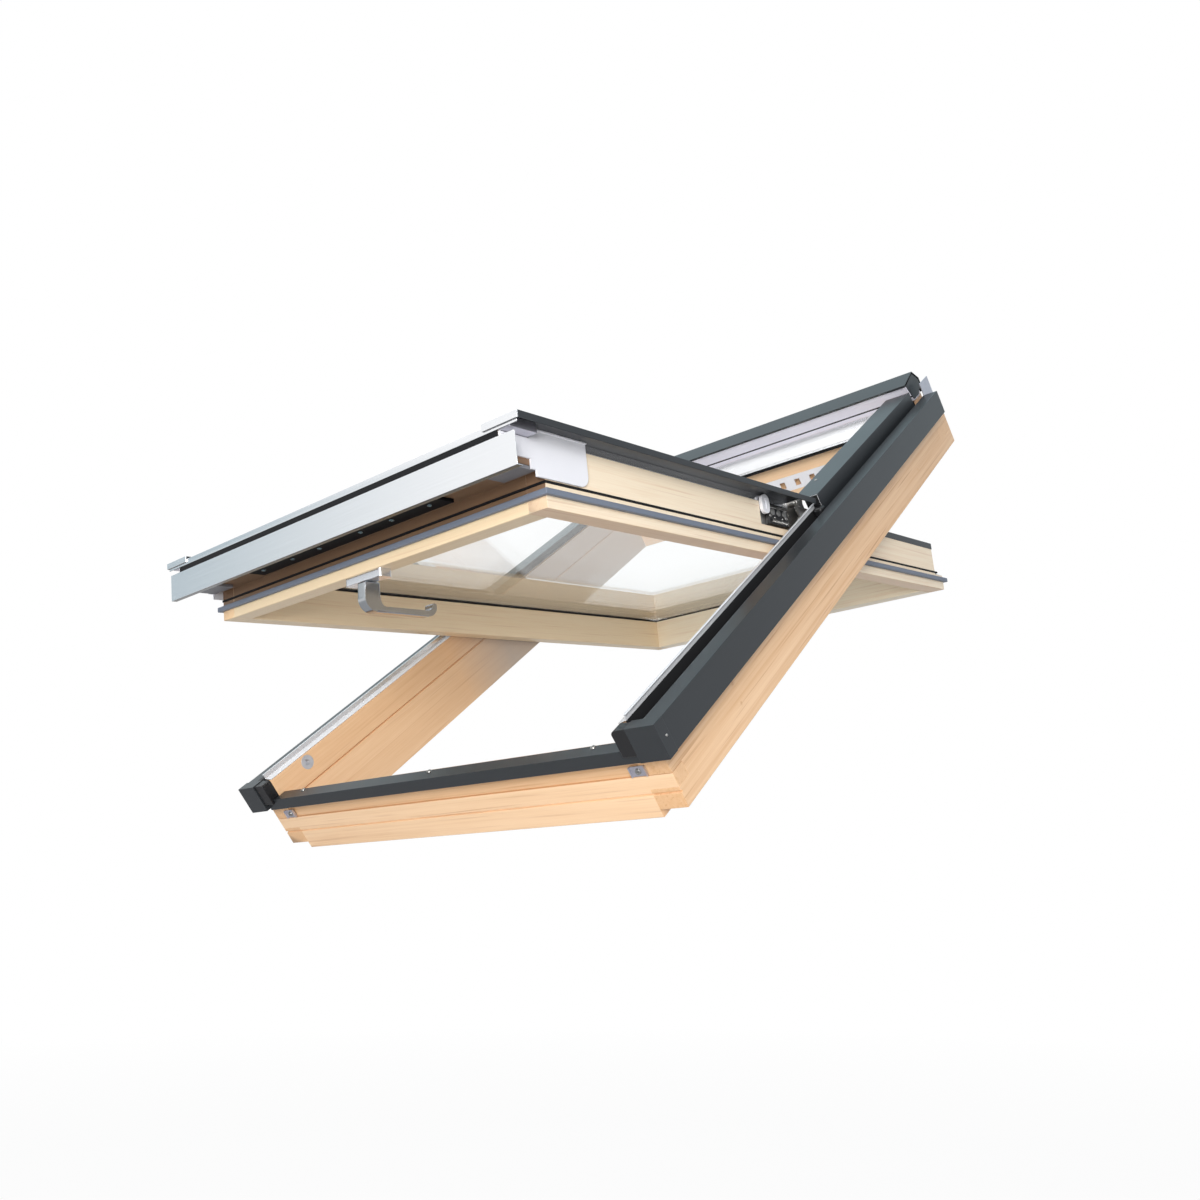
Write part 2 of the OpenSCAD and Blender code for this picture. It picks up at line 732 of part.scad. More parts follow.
module left_upper_cover() upper_cover(-1);
module right_upper_cover() upper_cover(1);

// Hinges of the frame

module frame_hinge(s) {
    color(steel) in_roof() on_side(s) along_x(frame_plate_x, inner_x) difference() {
        union() {
            translate([pivot_y - hinge_half, hinge_low]) round_rect([2 * hinge_half, jamb_h - hinge_low], 4);
            translate([pivot_y - ear_r, hinge_low + 4]) square([2 * ear_r, axis_z - hinge_low - 4]);
            translate([pivot_y, axis_z]) circle(ear_r);
        }
        translate([pivot_y, axis_z]) circle(pin_r + run_gap);
        for (p = hinge_screws) translate([pivot_y + p[0], hinge_low + p[1]]) circle(hole_r);
    }
}

module left_frame_hinge() frame_hinge(-1);
module right_frame_hinge() frame_hinge(1);

// Bushes in the left jamb that take the bolt, with the sash turned right round or closed.
module bolt_bush() {
    color([0.62, 0.63, 0.68]) in_roof() for (p = bush_at) difference() {
        pin_x([-inner_x - bush_deep, -inner_x], p[0], p[1], bush_r);
        pin_x([-inner_x - bush_deep + 1, -inner_x + eps], p[0], p[1], bolt_r + fit_gap);
    }
}

// Sash timber

module gasket_groove() {
    z = [gasket_z0, gasket_z0 + gasket_h];
    difference() {
        block([-sash_x - 2, sash_x + 2], [sash_y0 - 2, outer_y1 + 2], z);
        block([-sash_x + gasket_deep, sash_x - gasket_deep], [sash_y0 + gasket_deep, outer_y1 - gasket_deep],
              [z[0] - 1, z[1] + 1]);
    }
}

module stile() {
    color(timber) difference() {
        union() {
            along_y(sash_y0, stile_y1)
                eased([[stile_in, sash_z0], [sash_x, sash_z0], [sash_x, sash_z1], [rebate_x, sash_z1],
                       [rebate_x, bed_z], [stile_in, bed_z]], ease);
            along_y(stile_y1 - 1, sash_y1)
                eased([[stile_in, sash_z0], [sash_x, sash_z0], [sash_x, sash_step_z], [stile_in, sash_step_z]],
                      ease);
        }
        gasket_groove();
        block([plate_in_x, sash_x + eps], [mortise_y0, mortise_y1], [mortise_z, sash_z1 + eps]);
    }
}

module left_stile() {
    swung() difference() {
        on_side(-1) stile();
        pin_x([-sash_x - eps, -stile_in + eps], bolt_y, bolt_z, bolt_r + run_gap);
        block([slot_x, -stile_in + eps], [bolt_y - 3, bolt_y + 3], [sash_z0 - eps, bolt_z]);
    }
}

module right_stile() {
    swung() stile();
}

module sash_bottom_rail() {
    color(timber) swung() difference() {
        union() {
            along_x(-stile_in, stile_in)
                eased([[sash_y0, sash_z0], [rail_in_y, sash_z0], [rail_in_y, bed_z],
                       [rebate_y0, bed_z], [rebate_y0, sash_z1], [sash_y0, sash_z1]], ease);
            block([-sash_x, sash_x], [-nose_out, sash_y0], [nose_z0, sash_z1]);
            block([-stile_in, stile_in], [sash_y0 - eps, sash_y0 + ease], [nose_z0, sash_z1]);
        }
        gasket_groove();
        pin_z(0, spindle_y, [sash_z0 - eps, sash_z0 + spindle_in], spindle_r + 1);
    }
}

module sash_top_rail() {
    color(timber) swung() difference() {
        along_x(-stile_in, stile_in)
            polygon([[sight_y1, sash_z0], [sash_y1, sash_z0], [sash_y1, sash_step_z], [outer_y1, sash_step_z],
                     [outer_y1, sash_z1], [rebate_y1, sash_z1], [rebate_y1, bed_z],
                     [sight_y1, bed_z]]);
        gasket_groove();
        pin_x([-sash_x, -stile_in + 16], bolt_y, bolt_z, bolt_r + run_gap);
    }
}

// Glazing

module pane(z) {
    color([0.75, 0.85, 0.85, 0.5]) swung() block([-glass_x, glass_x], [glass_y0, glass_y1], [z, z + pane_t]);
}

module outer_pane() pane(glass_top - pane_t);
module inner_pane() pane(glass_z);

module ring(x, y0, y1, w, z) {
    difference() {
        block([-x, x], [y0, y1], z);
        block([-x + w, x - w], [y0 + w, y1 - w], [z[0] - 1, z[1] + 1]);
    }
}

module pane_spacer() {
    color([0.55, 0.56, 0.58]) swung()
        ring(glass_x - 2, glass_y0 + 2, glass_y1 - 2, 7, [glass_z + pane_t, glass_z + pane_t + pane_gap]);
}

module glazing_gasket() {
    color(black) swung() difference() {
        block([-glass_x, glass_x], [glass_y0, glass_y1], [bed_z, glass_z]);
        block([-stile_in + 1, stile_in - 1], [rail_in_y - 1, sight_y1 + 1], [bed_z - 1, glass_z + 1]);
    }
}

// Covers of the sash

// Cover over the lower half: it swings with the sash, laps over the jamb and reaches past the pivot.
module lower_cover(s) {
    tail = 8;
    edge = [[cover_x, lower_cover_z0], [cover_x, lower_cover_z1]];
    color(anthracite) swung() on_side(s) {
        along_y(front_y, lower_cover_y1)
            sheet(concat(edge, [[bead_x, lower_cover_z1], [bead_x, glass_top]]), sheet_t);
        along_y(lower_cover_y1 - 1, pivot_y + tail)
            sheet(concat(edge, [[cover_x - tail, lower_cover_z1]]), sheet_t);
    }
}

module left_lower_cover() lower_cover(-1);
module right_lower_cover() lower_cover(1);

module cover_ends() {
    color(pale_plastic) swung() both_sides()
        block([bead_x, cover_x], [front_y - 2, front_y], [lower_cover_z0, lower_cover_z1]);
}

// Hollow rails that carry the swinging covers on the stiles.
module cover_rails() {
    x = [rebate_x + 1, sash_x - 1];
    z = [sash_z1, cover_under];
    wall = 1.5;
    color(silver) swung() both_sides() difference() {
        block(x, [front_y + 8, lower_cover_y1 - 5], z);
        block([x[0] + wall, x[1] - wall], [front_y + 7, lower_cover_y1], [z[0] + wall, z[1] - wall]);
    }
}

module stile_cladding(s) {
    x1 = sash_x + sheet_t;
    top = glass_top + sheet_t;
    line = [[x1, sash_z1 - 4], [x1, top], [bead_x, top]];
    color(anthracite) swung() on_side(s) along_y(upper_cover_y0 - 2, stile_y1) sheet(line, sheet_t);
}

module left_stile_cladding() stile_cladding(-1);
module right_stile_cladding() stile_cladding(1);

module sash_top_cladding() {
    line = [[rebate_y1 - 10, glass_top], [outer_y1, glass_top], [outer_y1, sash_z1 - 14]];
    color(anthracite) swung() along_x(-bead_x + 0.2, bead_x - 0.2) sheet(line, sheet_t);
}

module sash_bottom_cladding() {
    color(silver) swung() {
        block([-bead_x + 0.2, bead_x - 0.2], [front_y, glass_y0 + 9], [glass_top, glass_top + sheet_t]);
        block([-cover_x + 3, cover_x - 3], [front_y, -nose_out], [strip_z, glass_top]);
    }
}

module drip_seal() {
    color(black) swung() block([-sash_x, sash_x], [-nose_out - 1, -nose_out], [plate_z0 + plate_h, strip_z]);
}

// Large bright plate across the sash's lower end, with a lip turned in below.
module front_plate() {
    line = [[front_y, plate_z0 + plate_h], [front_y, plate_z0], [-nose_out + 7, plate_z0]];
    color(silver) swung() along_x(-plate_x, plate_x) sheet(line, sheet_t);
}

// Pale covers on the sash's lower corners, with an arm to the front and a round lower corner.
module corner_cover(s) {
    t = 2.6;
    r = 14;
    z0 = gasket_z0 + gasket_h + 1;
    y0 = sash_y0 - 23;
    y1 = sash_y0 + 72;
    low_y = sill_front_t + 2;
    arm_z = [nose_z0 + 7, sash_z1 - 2.5];
    flange_w = 5;
    color(pale_plastic) swung() on_side(s) {
        along_x(sash_x, sash_x + t) {
            translate([low_y, z0]) square([y1 - r - low_y, cover_under - z0]);
            translate([y0, nose_z0 - lock_t]) square([y1 - r - y0, cover_under - nose_z0 + lock_t]);
            translate([y1 - r - 1, z0 + r]) square([r + 1, cover_under - z0 - r]);
            translate([y1 - r, z0 + r]) circle(r);
            translate([-nose_out, arm_z[0]]) square([y0 + nose_out + 1, arm_z[1] - arm_z[0]]);
        }
        block([sash_x + t - eps, sash_x + flange_w], [y0, y1], [cover_under - 1.6, cover_under]);
    }
}

module left_corner_cover() corner_cover(-1);
module right_corner_cover() corner_cover(1);

// Small grey clips under the front ends of the swinging covers.
module corner_clips() {
    color(zinc) swung() both_sides()
        block([sash_x, sash_x + corner_clip_w], [-nose_out, corner_clip_l - nose_out],
              [sash_z1 - 2, cover_under]);
}

// Lock rail under the sash's nose

module lock_rail() {
    color(black) swung() difference() {
        block([-lock_l / 2, lock_l / 2], [lock_y0, lock_y1], [nose_z0 - lock_t, nose_z0]);
        both_sides() for (x = lock_screw_x) pin_z(x, lock_y, [nose_z0 - lock_t - 1, nose_z0 + 1], hole_r);
    }
}

module lock_screws() {
    color(steel) swung() both_sides() for (x = lock_screw_x)
        translate([x, lock_y, nose_z0 - lock_t]) rotate([180, 0, 0]) screw(3.6, 1, lock_t);
}

// Grey blocks that seal the ends of the sash's nose against the bottom rail.
module seal_blocks() {
    color([0.52, 0.52, 0.54]) swung() both_sides()
        block([sash_x - 52, sash_x - 1], [lock_y0 + 3, lock_y1], [nose_z0 - lock_t, nose_z0]);
}

// Seals of the sash

module weather_gasket() {
    color(black) swung() intersection() {
        gasket_groove();
        block([-sash_x - 1, sash_x + 1], [sash_y0 - 1, outer_y1 + 1], [gasket_z0, gasket_z0 + gasket_h]);
    }
}

module lip_seal() {
    color(seal_blue) swung() difference() {
        block([-sash_x - seal_out, sash_x + seal_out], [sash_y0 - seal_out, sash_y1 + seal_out],
              [seal_z0, seal_z0 + seal_h]);
        block([-sash_x, sash_x], [sash_y0, sash_y1], [seal_z0 - 1, seal_z0 + seal_h + 1]);
    }
}

// Hinges of the sash: a plate with an ear in the stile's mortise, held by screws.
module sash_hinges() {
    color(steel) swung() both_sides() {
        along_x(plate_in_x, plate_out_x) {
            translate([mortise_y0 + 2, mortise_z + 2])
                square([mortise_y1 - mortise_y0 - 4, sash_z1 - mortise_z - 2]);
            translate([pivot_y - ear_r, sash_z1 - 1]) square([2 * ear_r, axis_z - sash_z1 + 1]);
            translate([pivot_y, axis_z]) circle(ear_r);
        }
        for (p = sash_hinge_screws)
            translate([plate_out_x - eps, pivot_y + p[0], mortise_z + p[1]])
                rotate([0, 90, 0]) screw_head(4, 2);
    }
}

// Black blocks of the friction brake, with three round buttons.
module friction_blocks() {
    middle = pivot_y - (friction_low + friction_high) / 2;
    pitch = 3.2 * button_r;
    color(black) swung() both_sides() {
        block([plate_out_x, friction_x], [pivot_y - friction_low, pivot_y - friction_high],
              [mortise_z + 3, sash_z1 - 2]);
        for (i = [-1:1])
            pin_x([friction_x - eps, friction_x + 1.4], middle + i * pitch, sash_z1 - 13, button_r);
    }
}

// Pale slotted levers that set the brake.
module hinge_levers() {
    r = 10;
    y = pivot_y - brake_lever_y;
    z0 = axis_z - 21;
    z1 = axis_z - 12;
    x = [sash_x + 0.2, sash_x + 5.5];
    color(pale_plastic) swung() both_sides() {
        difference() {
            union() {
                pin_x(x, y, z0, r);
                pin_x(x, y, z1, r);
                block(x, [y - r, y + r], [z0, z1]);
            }
            block([x[1] - 2, x[1] + 1], [y - 2, y + 2], [z0 - 3, z1 + 3]);
        }
        pin_x([plate_out_x, x[0] + eps], y, z0, r / 2);
    }
}

module hinge_pins() {
    color(zinc) swung() both_sides() {
        pin_x([plate_out_x, inner_x + 1.4], pivot_y, axis_z, pin_r);
        pin_x([inner_x + 0.4, inner_x + 3], pivot_y, axis_z, pin_r + 2.5);
    }
}

// Handle

module handle_rose() {
    r = 4;
    color(silver) swung() difference() {
        translate([-rose_l / 2, spindle_y - rose_w / 2, sash_z0 - rose_t])
            linear_extrude(rose_t) round_rect([rose_l, rose_w], r);
        pin_z(0, spindle_y, [sash_z0 - rose_t - eps, sash_z0 + eps], spindle_r + run_gap);
    }
}

// Lever that points up the slope, with a deep neck and an upturned tip.
module handle_lever() {
    neck = 13;
    top = sash_z0 - rose_t - 0.3;
    r = 20;
    tip = 15;
    color(silver) swung() {
        pin_z(0, spindle_y, [top - 1, sash_z0 + spindle_in - 1], spindle_r);
        along_x(-lever_w / 2, lever_w / 2) {
            translate([spindle_y - neck, lever_z + r]) square([2 * neck, top - lever_z - r]);
            intersection() {
                translate([spindle_y - neck + r, lever_z + r]) circle(r);
                translate([spindle_y - neck, lever_z]) square([r, r]);
            }
            translate([spindle_y - neck + r - 1, lever_z]) square([lever_l - r + neck - tip + 1, lever_t]);
            translate([spindle_y + neck - 1, lever_z + lever_t - 1]) difference() {
                square([9, 9]);
                translate([9, 9]) circle(8);
            }
            translate([spindle_y + lever_l - tip, lever_z + tip]) difference() {
                circle(tip);
                circle(tip - lever_t);
                translate([-tip - 1, 0]) square([2 * tip + 2, tip + 1]);
                translate([-tip - 1, -tip - 1]) square([tip + 1, 2 * tip + 2]);
            }
            translate([spindle_y + lever_l - lever_t / 2, lever_z + tip]) circle(lever_t / 2);
            translate([spindle_y - neck + r - 1, lever_z + lever_t - 1])
                square([2 * neck - r, r - lever_t + 2]);
        }
    }
}

// Bolt that slides out of the left stile into the jamb's bush in the cleaning position.
module cleaning_bolt() {
    color(zinc) swung() {
        pin_x([-sash_x, -sash_x + bolt_l], bolt_y, bolt_z, bolt_r);
        block([-stile_in - 7, -stile_in - 1], [bolt_y - 2.5, bolt_y + 2.5], [sash_z0, bolt_z]);
    }
}

left_jamb();
right_jamb();
bottom_rail();
top_rail();
left_side_cladding();
right_side_cladding();
left_end_cap();
right_end_cap();
left_upstand();
right_upstand();
corner_blocks();
sill_cladding();
flashing_clips();
frame_screws();
cap_rivets();
head_cover();
head_gutter();
head_flashing();
head_plugs();
head_seal();
vent_grille();
head_clips();
left_upper_cover();
right_upper_cover();
left_frame_hinge();
right_frame_hinge();
bolt_bush();
left_stile();
right_stile();
sash_bottom_rail();
sash_top_rail();
outer_pane();
inner_pane();
pane_spacer();
glazing_gasket();
left_lower_cover();
right_lower_cover();
cover_ends();
cover_rails();
left_stile_cladding();
right_stile_cladding();
sash_top_cladding();
sash_bottom_cladding();
drip_seal();
front_plate();
left_corner_cover();
right_corner_cover();
corner_clips();
lock_rail();
lock_screws();
seal_blocks();
weather_gasket();
lip_seal();
sash_hinges();
friction_blocks();
hinge_levers();
hinge_pins();
handle_rose();
handle_lever();
cleaning_bolt();
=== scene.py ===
"""Looks of a centre-pivot timber roof window: eased edges, finishes, studio light and camera."""

import json
import math

import bmesh
import bpy
from bpy.props import FloatProperty, FloatVectorProperty, PointerProperty
from mathutils import Matrix, Vector

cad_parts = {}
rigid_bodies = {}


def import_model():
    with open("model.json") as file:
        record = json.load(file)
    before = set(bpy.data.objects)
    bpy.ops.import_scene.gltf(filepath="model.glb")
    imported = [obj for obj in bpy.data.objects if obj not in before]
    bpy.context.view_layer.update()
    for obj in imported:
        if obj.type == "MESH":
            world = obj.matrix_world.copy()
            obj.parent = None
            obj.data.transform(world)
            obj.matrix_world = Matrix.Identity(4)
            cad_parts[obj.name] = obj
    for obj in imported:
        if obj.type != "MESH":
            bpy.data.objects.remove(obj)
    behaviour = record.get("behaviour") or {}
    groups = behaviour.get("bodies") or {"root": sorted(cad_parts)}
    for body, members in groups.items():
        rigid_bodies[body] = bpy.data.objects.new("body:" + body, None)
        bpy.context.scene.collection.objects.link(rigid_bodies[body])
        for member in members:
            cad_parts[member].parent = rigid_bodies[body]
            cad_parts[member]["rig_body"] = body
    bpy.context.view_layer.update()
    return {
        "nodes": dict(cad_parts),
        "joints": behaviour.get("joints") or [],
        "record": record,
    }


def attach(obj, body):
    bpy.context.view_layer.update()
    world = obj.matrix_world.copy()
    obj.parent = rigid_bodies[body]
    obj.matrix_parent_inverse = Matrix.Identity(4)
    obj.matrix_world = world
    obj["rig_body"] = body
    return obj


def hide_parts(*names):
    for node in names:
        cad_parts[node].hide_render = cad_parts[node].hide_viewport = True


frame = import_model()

bl_info = {
    "name": "Roof window looks",
    "version": (1, 0, 0),
    "blender": (4, 5, 0),
    "location": "View3D > Sidebar > Roof window",
    "description": "Finishes the pieces of a timber roof window and sets up its studio",
    "category": "Object",
}

MM = 0.001
WHITE = (1.0, 1.0, 1.0)
BLACK = (0.006, 0.006, 0.007)

# Sockets of a Mix node that mixes two colours
MIX_FACTOR, MIX_FIRST, MIX_SECOND, MIX_RESULT = 0, 6, 7, 2

# Part of a normal beyond which a face counts as turned that way
TURNED = 0.8
HALF_TURNED = 0.5
TURNED_UP = 0.7
SQUARE_CUT = 0.9

# Eased edges: points to weld, flat faces to join, edges to round, and corners that stay sharp
WELD = 0.002 * MM
FLAT_ANGLE = math.radians(0.5)
EDGE_ANGLE = math.radians(30)
SHARP_ANGLE = math.radians(50)
SMALL_SHARP_ANGLE = math.radians(40)
LONG_EDGE = 4

# Frequencies of the timber's noise per metre, along and across the grain
DRIFT = (1.1, 6.0)
PATCHES = (2.2, 16.0)
STREAKS = (2.4, 170.0)
FIBRES = (16.0, 900.0)
RESIN = (5.0, 260.0)

# The log's heart from the piece's axes, its step from piece to piece, and the rings' waviness
HEART = (50 * MM, -35 * MM)
HEART_STEP = (13 * MM, -9 * MM)
DRIFT_WIDTH = 30 * MM
RING_END = 0.97

# How far each feature changes the timber's colour; the groove and step lines, the span behind the glass, the
# right stile's faces turned down and the nose get painted shade
LATE_SHARE = 0.42
STREAK_SHARE = 1.1
FIBRE_SHARE = 0.5
PATCH_SHARE = 0.35
LINE_SHADE_SHARE = 0.8
RESIN_SHARE = 0.6
RESIN_RANGE = (0.62, 0.79)
END_SHARE = 0.45
SHADE_BEHIND_GLASS_SHARE = 0.7
UNDERSIDE_SHADE_SHARE = 0.5
NOSE_SHADE_SHARE = 0.95

# Rolling lines of bright sheet per metre, along a strip and across a level or a sloping one
ROLLED_ALONG = 6.0
ROLLED_LEVEL = 900.0
ROLLED_SLOPE = 120.0
TOP_DULLING = 0.8

# Lines and marks on the timber, in the tilted axes of the frame or the sash: painted shadow above the recess,
# painted shade under the sash's nose and on the left jamb behind the glass
JAMB_LINE_Z = 81.2 * MM
RECESS_SHADOW_Z = 57.6 * MM
LINE_SHADE_HALF = 0.7 * MM
NOSE_SHADE_DEEP = 68.6 * MM
NOSE_SHADE_Z = 21.6 * MM
SHADE_BEHIND_GLASS_Y = (420 * MM, 560 * MM)

# Weep holes along the gutter, drawn as black dots of painted shade
WEEP_PITCH = 13 * MM
WEEP_Z = 136 * MM
WEEP_R = 1.6 * MM

# Half width within which the side cladding gets painted shade, black, inside the channel, and beyond which
# the brake's buttons are bare
CHANNEL_X = 381.2 * MM
BUTTON_X = 343.2 * MM

# Areas of the glass where a painted reflection mask makes it mirror most, from the far stile and from the top
# rail
FAR_SIDE = 210 * MM
FAR_END = 266 * MM
MIRROR_EDGE = 4 * MM
SMEAR_SHARE = 0.03

# Plug in the side channel and foam in the fixed cover: across, along from the cover's end, and up
PLUG_X = (365 * MM, 380.4 * MM)
PLUG_Y = (-17 * MM, -0.6 * MM)
PLUG_HEIGHT = 18 * MM
PLUG_ROUND = 4 * MM
FOAM_X = (350 * MM, 372.5 * MM)
FOAM_Y = (3 * MM, 28 * MM)
FOAM_UNDER = 1.4 * MM
FOAM_ROUND = 1 * MM

# Works on the brake block: depth of its face, spring, arm, and rivets by place and radius in millimetres
BRAKE_FACE = 1.4 * MM
BRAKE_SINK = 0.4 * MM
SPRING_ENDS = (5 * MM, 4 * MM)
SPRING_UP = 6 * MM
SPRING_R = 2.3 * MM
SPRING_WIRE = 0.55 * MM
SPRING_TURNS = 15
ARM_OUT = 0.9 * MM
ARM_ENDS = (3 * MM, 1 * MM)
ARM_DOWN = (5.5 * MM, 1.5 * MM)
ARM_ROUND = 0.35 * MM
RIVETS = ((4.5, 13.0, 2.6), (48.5, 13.5, 3.0), (16.0, 11.0, 1.7), (37.0, 11.0, 1.7), (48.0, 24.0, 2.0))
RIVET_HEIGHT = 1.3 * MM


def joint(name):
    """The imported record's entry of one joint."""
    return next(j for j in frame["joints"] if j["name"] == name)


def mount(name):
    """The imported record's entry of one mount."""
    return next(m for m in frame["record"]["mounts"] if m["name"] == name)


def slope(axis):
    """Angle of a plane about X, from its normal."""
    return math.atan2(abs(axis[1]), abs(axis[2]))


FRAME_TILT = slope(mount("sill_room_face")["axis"])
SASH_TILT = slope(joint("handle_turn")["axis"])
PIVOT = Vector(joint("sash_pivot")["pos_m"])

FRAME_TIMBER = ("left_jamb", "right_jamb", "bottom_rail", "top_rail")
SASH_TIMBER = ("left_stile", "right_stile", "sash_bottom_rail", "sash_top_rail")
FRAME_SHEETS = ("left_side_cladding", "right_side_cladding", "left_end_cap", "right_end_cap", "sill_cladding",
                "head_cover", "left_upper_cover", "right_upper_cover")
SASH_SHEETS = ("left_lower_cover", "right_lower_cover", "left_stile_cladding", "right_stile_cladding",
               "sash_top_cladding")
BRIGHT_SLOPES = ("left_upstand", "right_upstand", "cover_rails")
BRIGHT_LEVELS = ("head_flashing", "sash_bottom_cladding", "front_plate", "cover_ends")
CHANNELS = ("left_side_cladding", "right_side_cladding")
CUT_ENDS = ("left_upper_cover", "right_upper_cover")
ZINC = ("flashing_clips", "head_clips", "corner_clips", "cleaning_bolt")
STEEL = ("frame_screws", "cap_rivets", "left_frame_hinge", "right_frame_hinge", "sash_hinges", "hinge_pins")
BLACK_PLASTIC = ("corner_blocks", "head_plugs", "pane_spacer")
BLACK_RUBBER = ("head_seal", "drip_seal", "weather_gasket", "glazing_gasket")
PALE_PLASTIC = ("vent_grille", "left_corner_cover", "right_corner_cover", "hinge_levers")
PANES = ("outer_pane", "inner_pane")


class Wire:
    """One output socket of a shader tree; arithmetic on it adds Math nodes."""

    def __init__(self, socket):
        self.socket = socket
        self.tree = socket.id_data

    def node(self, kind, settings=None, inputs=None, out=0):
        """Adds a node, sets it up, feeds its sockets and gives back one of its outputs."""
        made = self.tree.nodes.new(kind)
        for key, value in (settings or {}).items():
            setattr(made, key, value)
        for key, value in (inputs or {}).items():
            feed(made.inputs[key], value)
        return Wire(made.outputs[out])

    def output(self, name):
        """Another output of the node that this one belongs to."""
        return Wire(self.socket.node.outputs[name])

    def parts(self):
        """The three parts of this vector."""
        split = self.node("ShaderNodeSeparateXYZ", None, {0: self})
        return [Wire(socket) for socket in split.socket.node.outputs]

    def math(self, operation, *values):
        """A Math node on some values."""
        return self.node("ShaderNodeMath", {"operation": operation}, dict(enumerate(values)))

    def __add__(self, other):
        return self.math("ADD", self, other)

    def __sub__(self, other):
        return self.math("SUBTRACT", self, other)

    def __rsub__(self, other):
        return self.math("SUBTRACT", other, self)

    def __mul__(self, other):
        return self.math("MULTIPLY", self, other)

    def __truediv__(self, other):
        return self.math("DIVIDE", self, other)

    def __pow__(self, other):
        return self.math("POWER", self, other)

    def __gt__(self, other):
        return self.math("GREATER_THAN", self, other)

    def __lt__(self, other):
        return self.math("LESS_THAN", self, other)

    def __abs__(self):
        return self.math("ABSOLUTE", self)

    def __neg__(self):
        return self * -1.0

    __radd__ = __add__
    __rmul__ = __mul__

    def greater(self, other):
        """The larger of two values."""
        return self.math("MAXIMUM", self, other)

    def ramp(self, start, end):
        """0 up to start and 1 from end on, with a straight rise between them."""
        return ((self - start) / (end - start)).clamped()

    def clamped(self):
        """The value held between 0 and 1."""
        return self.node("ShaderNodeClamp", None, {"Value": self})

    def towards(self, start, end):
        """A colour between two others, by this value."""
        return self.node("ShaderNodeMix", {"data_type": "RGBA"},
                         {MIX_FACTOR: self, MIX_FIRST: start, MIX_SECOND: end}, out=MIX_RESULT)

    def noise(self, scale, detail=3.0, roughness=0.5):
        """Noise at the place that this wire gives."""
        return self.node("ShaderNodeTexNoise", None,
                         {"Vector": self, "Scale": scale, "Detail": detail, "Roughness": roughness})


def feed(socket, value):
    """Links a wire to a socket, or sets the socket's own value."""
    if isinstance(value, Wire):
        socket.id_data.links.new(value.socket, socket)
        return
    if socket.type == "RGBA" and len(value) == 3:
        value = (*value, 1.0)
    socket.default_value = value


def toned(colour, factor):
    """A colour made darker or lighter by a factor."""
    return tuple(factor * c for c in colour)


class Finish:
    """A new material: its Principled shader and the place on the object, turned by a tilt about X."""

    def __init__(self, name, tilt=0.0):
        self.material = bpy.data.materials.new(name)
        self.material.use_nodes = True
        self.shader = self.material.node_tree.nodes["Principled BSDF"]
        self.start = Wire(self.shader.outputs[0])
        coords = self.start.node("ShaderNodeTexCoord", out="Object")
        self.place = self.turned(coords, tilt)
        self.normal = self.turned(coords.output("Normal"), tilt)

    def turned(self, vector, tilt):
        """A vector in axes tilted about X."""
        return self.start.node("ShaderNodeMapping", {"vector_type": "POINT"},
                               {"Vector": vector, "Rotation": (-tilt, 0.0, 0.0)})

    def joined(self, x, y, z):
        """A vector from its three parts."""
        return self.start.node("ShaderNodeCombineXYZ", None, {0: x, 1: y, 2: z})

    def set(self, **sockets):
        """Feeds the shader's sockets, with underscores for spaces."""
        for key, value in sockets.items():
            feed(self.shader.inputs[key.replace("_", " ")], value)
        return self

    def bump(self, height, strength, distance):
        """Bump from a height, on the shader's normal."""
        normal = self.start.node("ShaderNodeBump", None,
                                 {"Strength": strength, "Distance": distance, "Height": height})
        return self.set(Normal=normal)

    def blended(self, share, first, second):
        """Shows a mix of two shaders, by a share."""
        mixed = self.start.node("ShaderNodeMixShader", None, {0: share, 1: first, 2: second})
        feed(self.material.node_tree.nodes["Material Output"].inputs["Surface"], mixed)
        return self


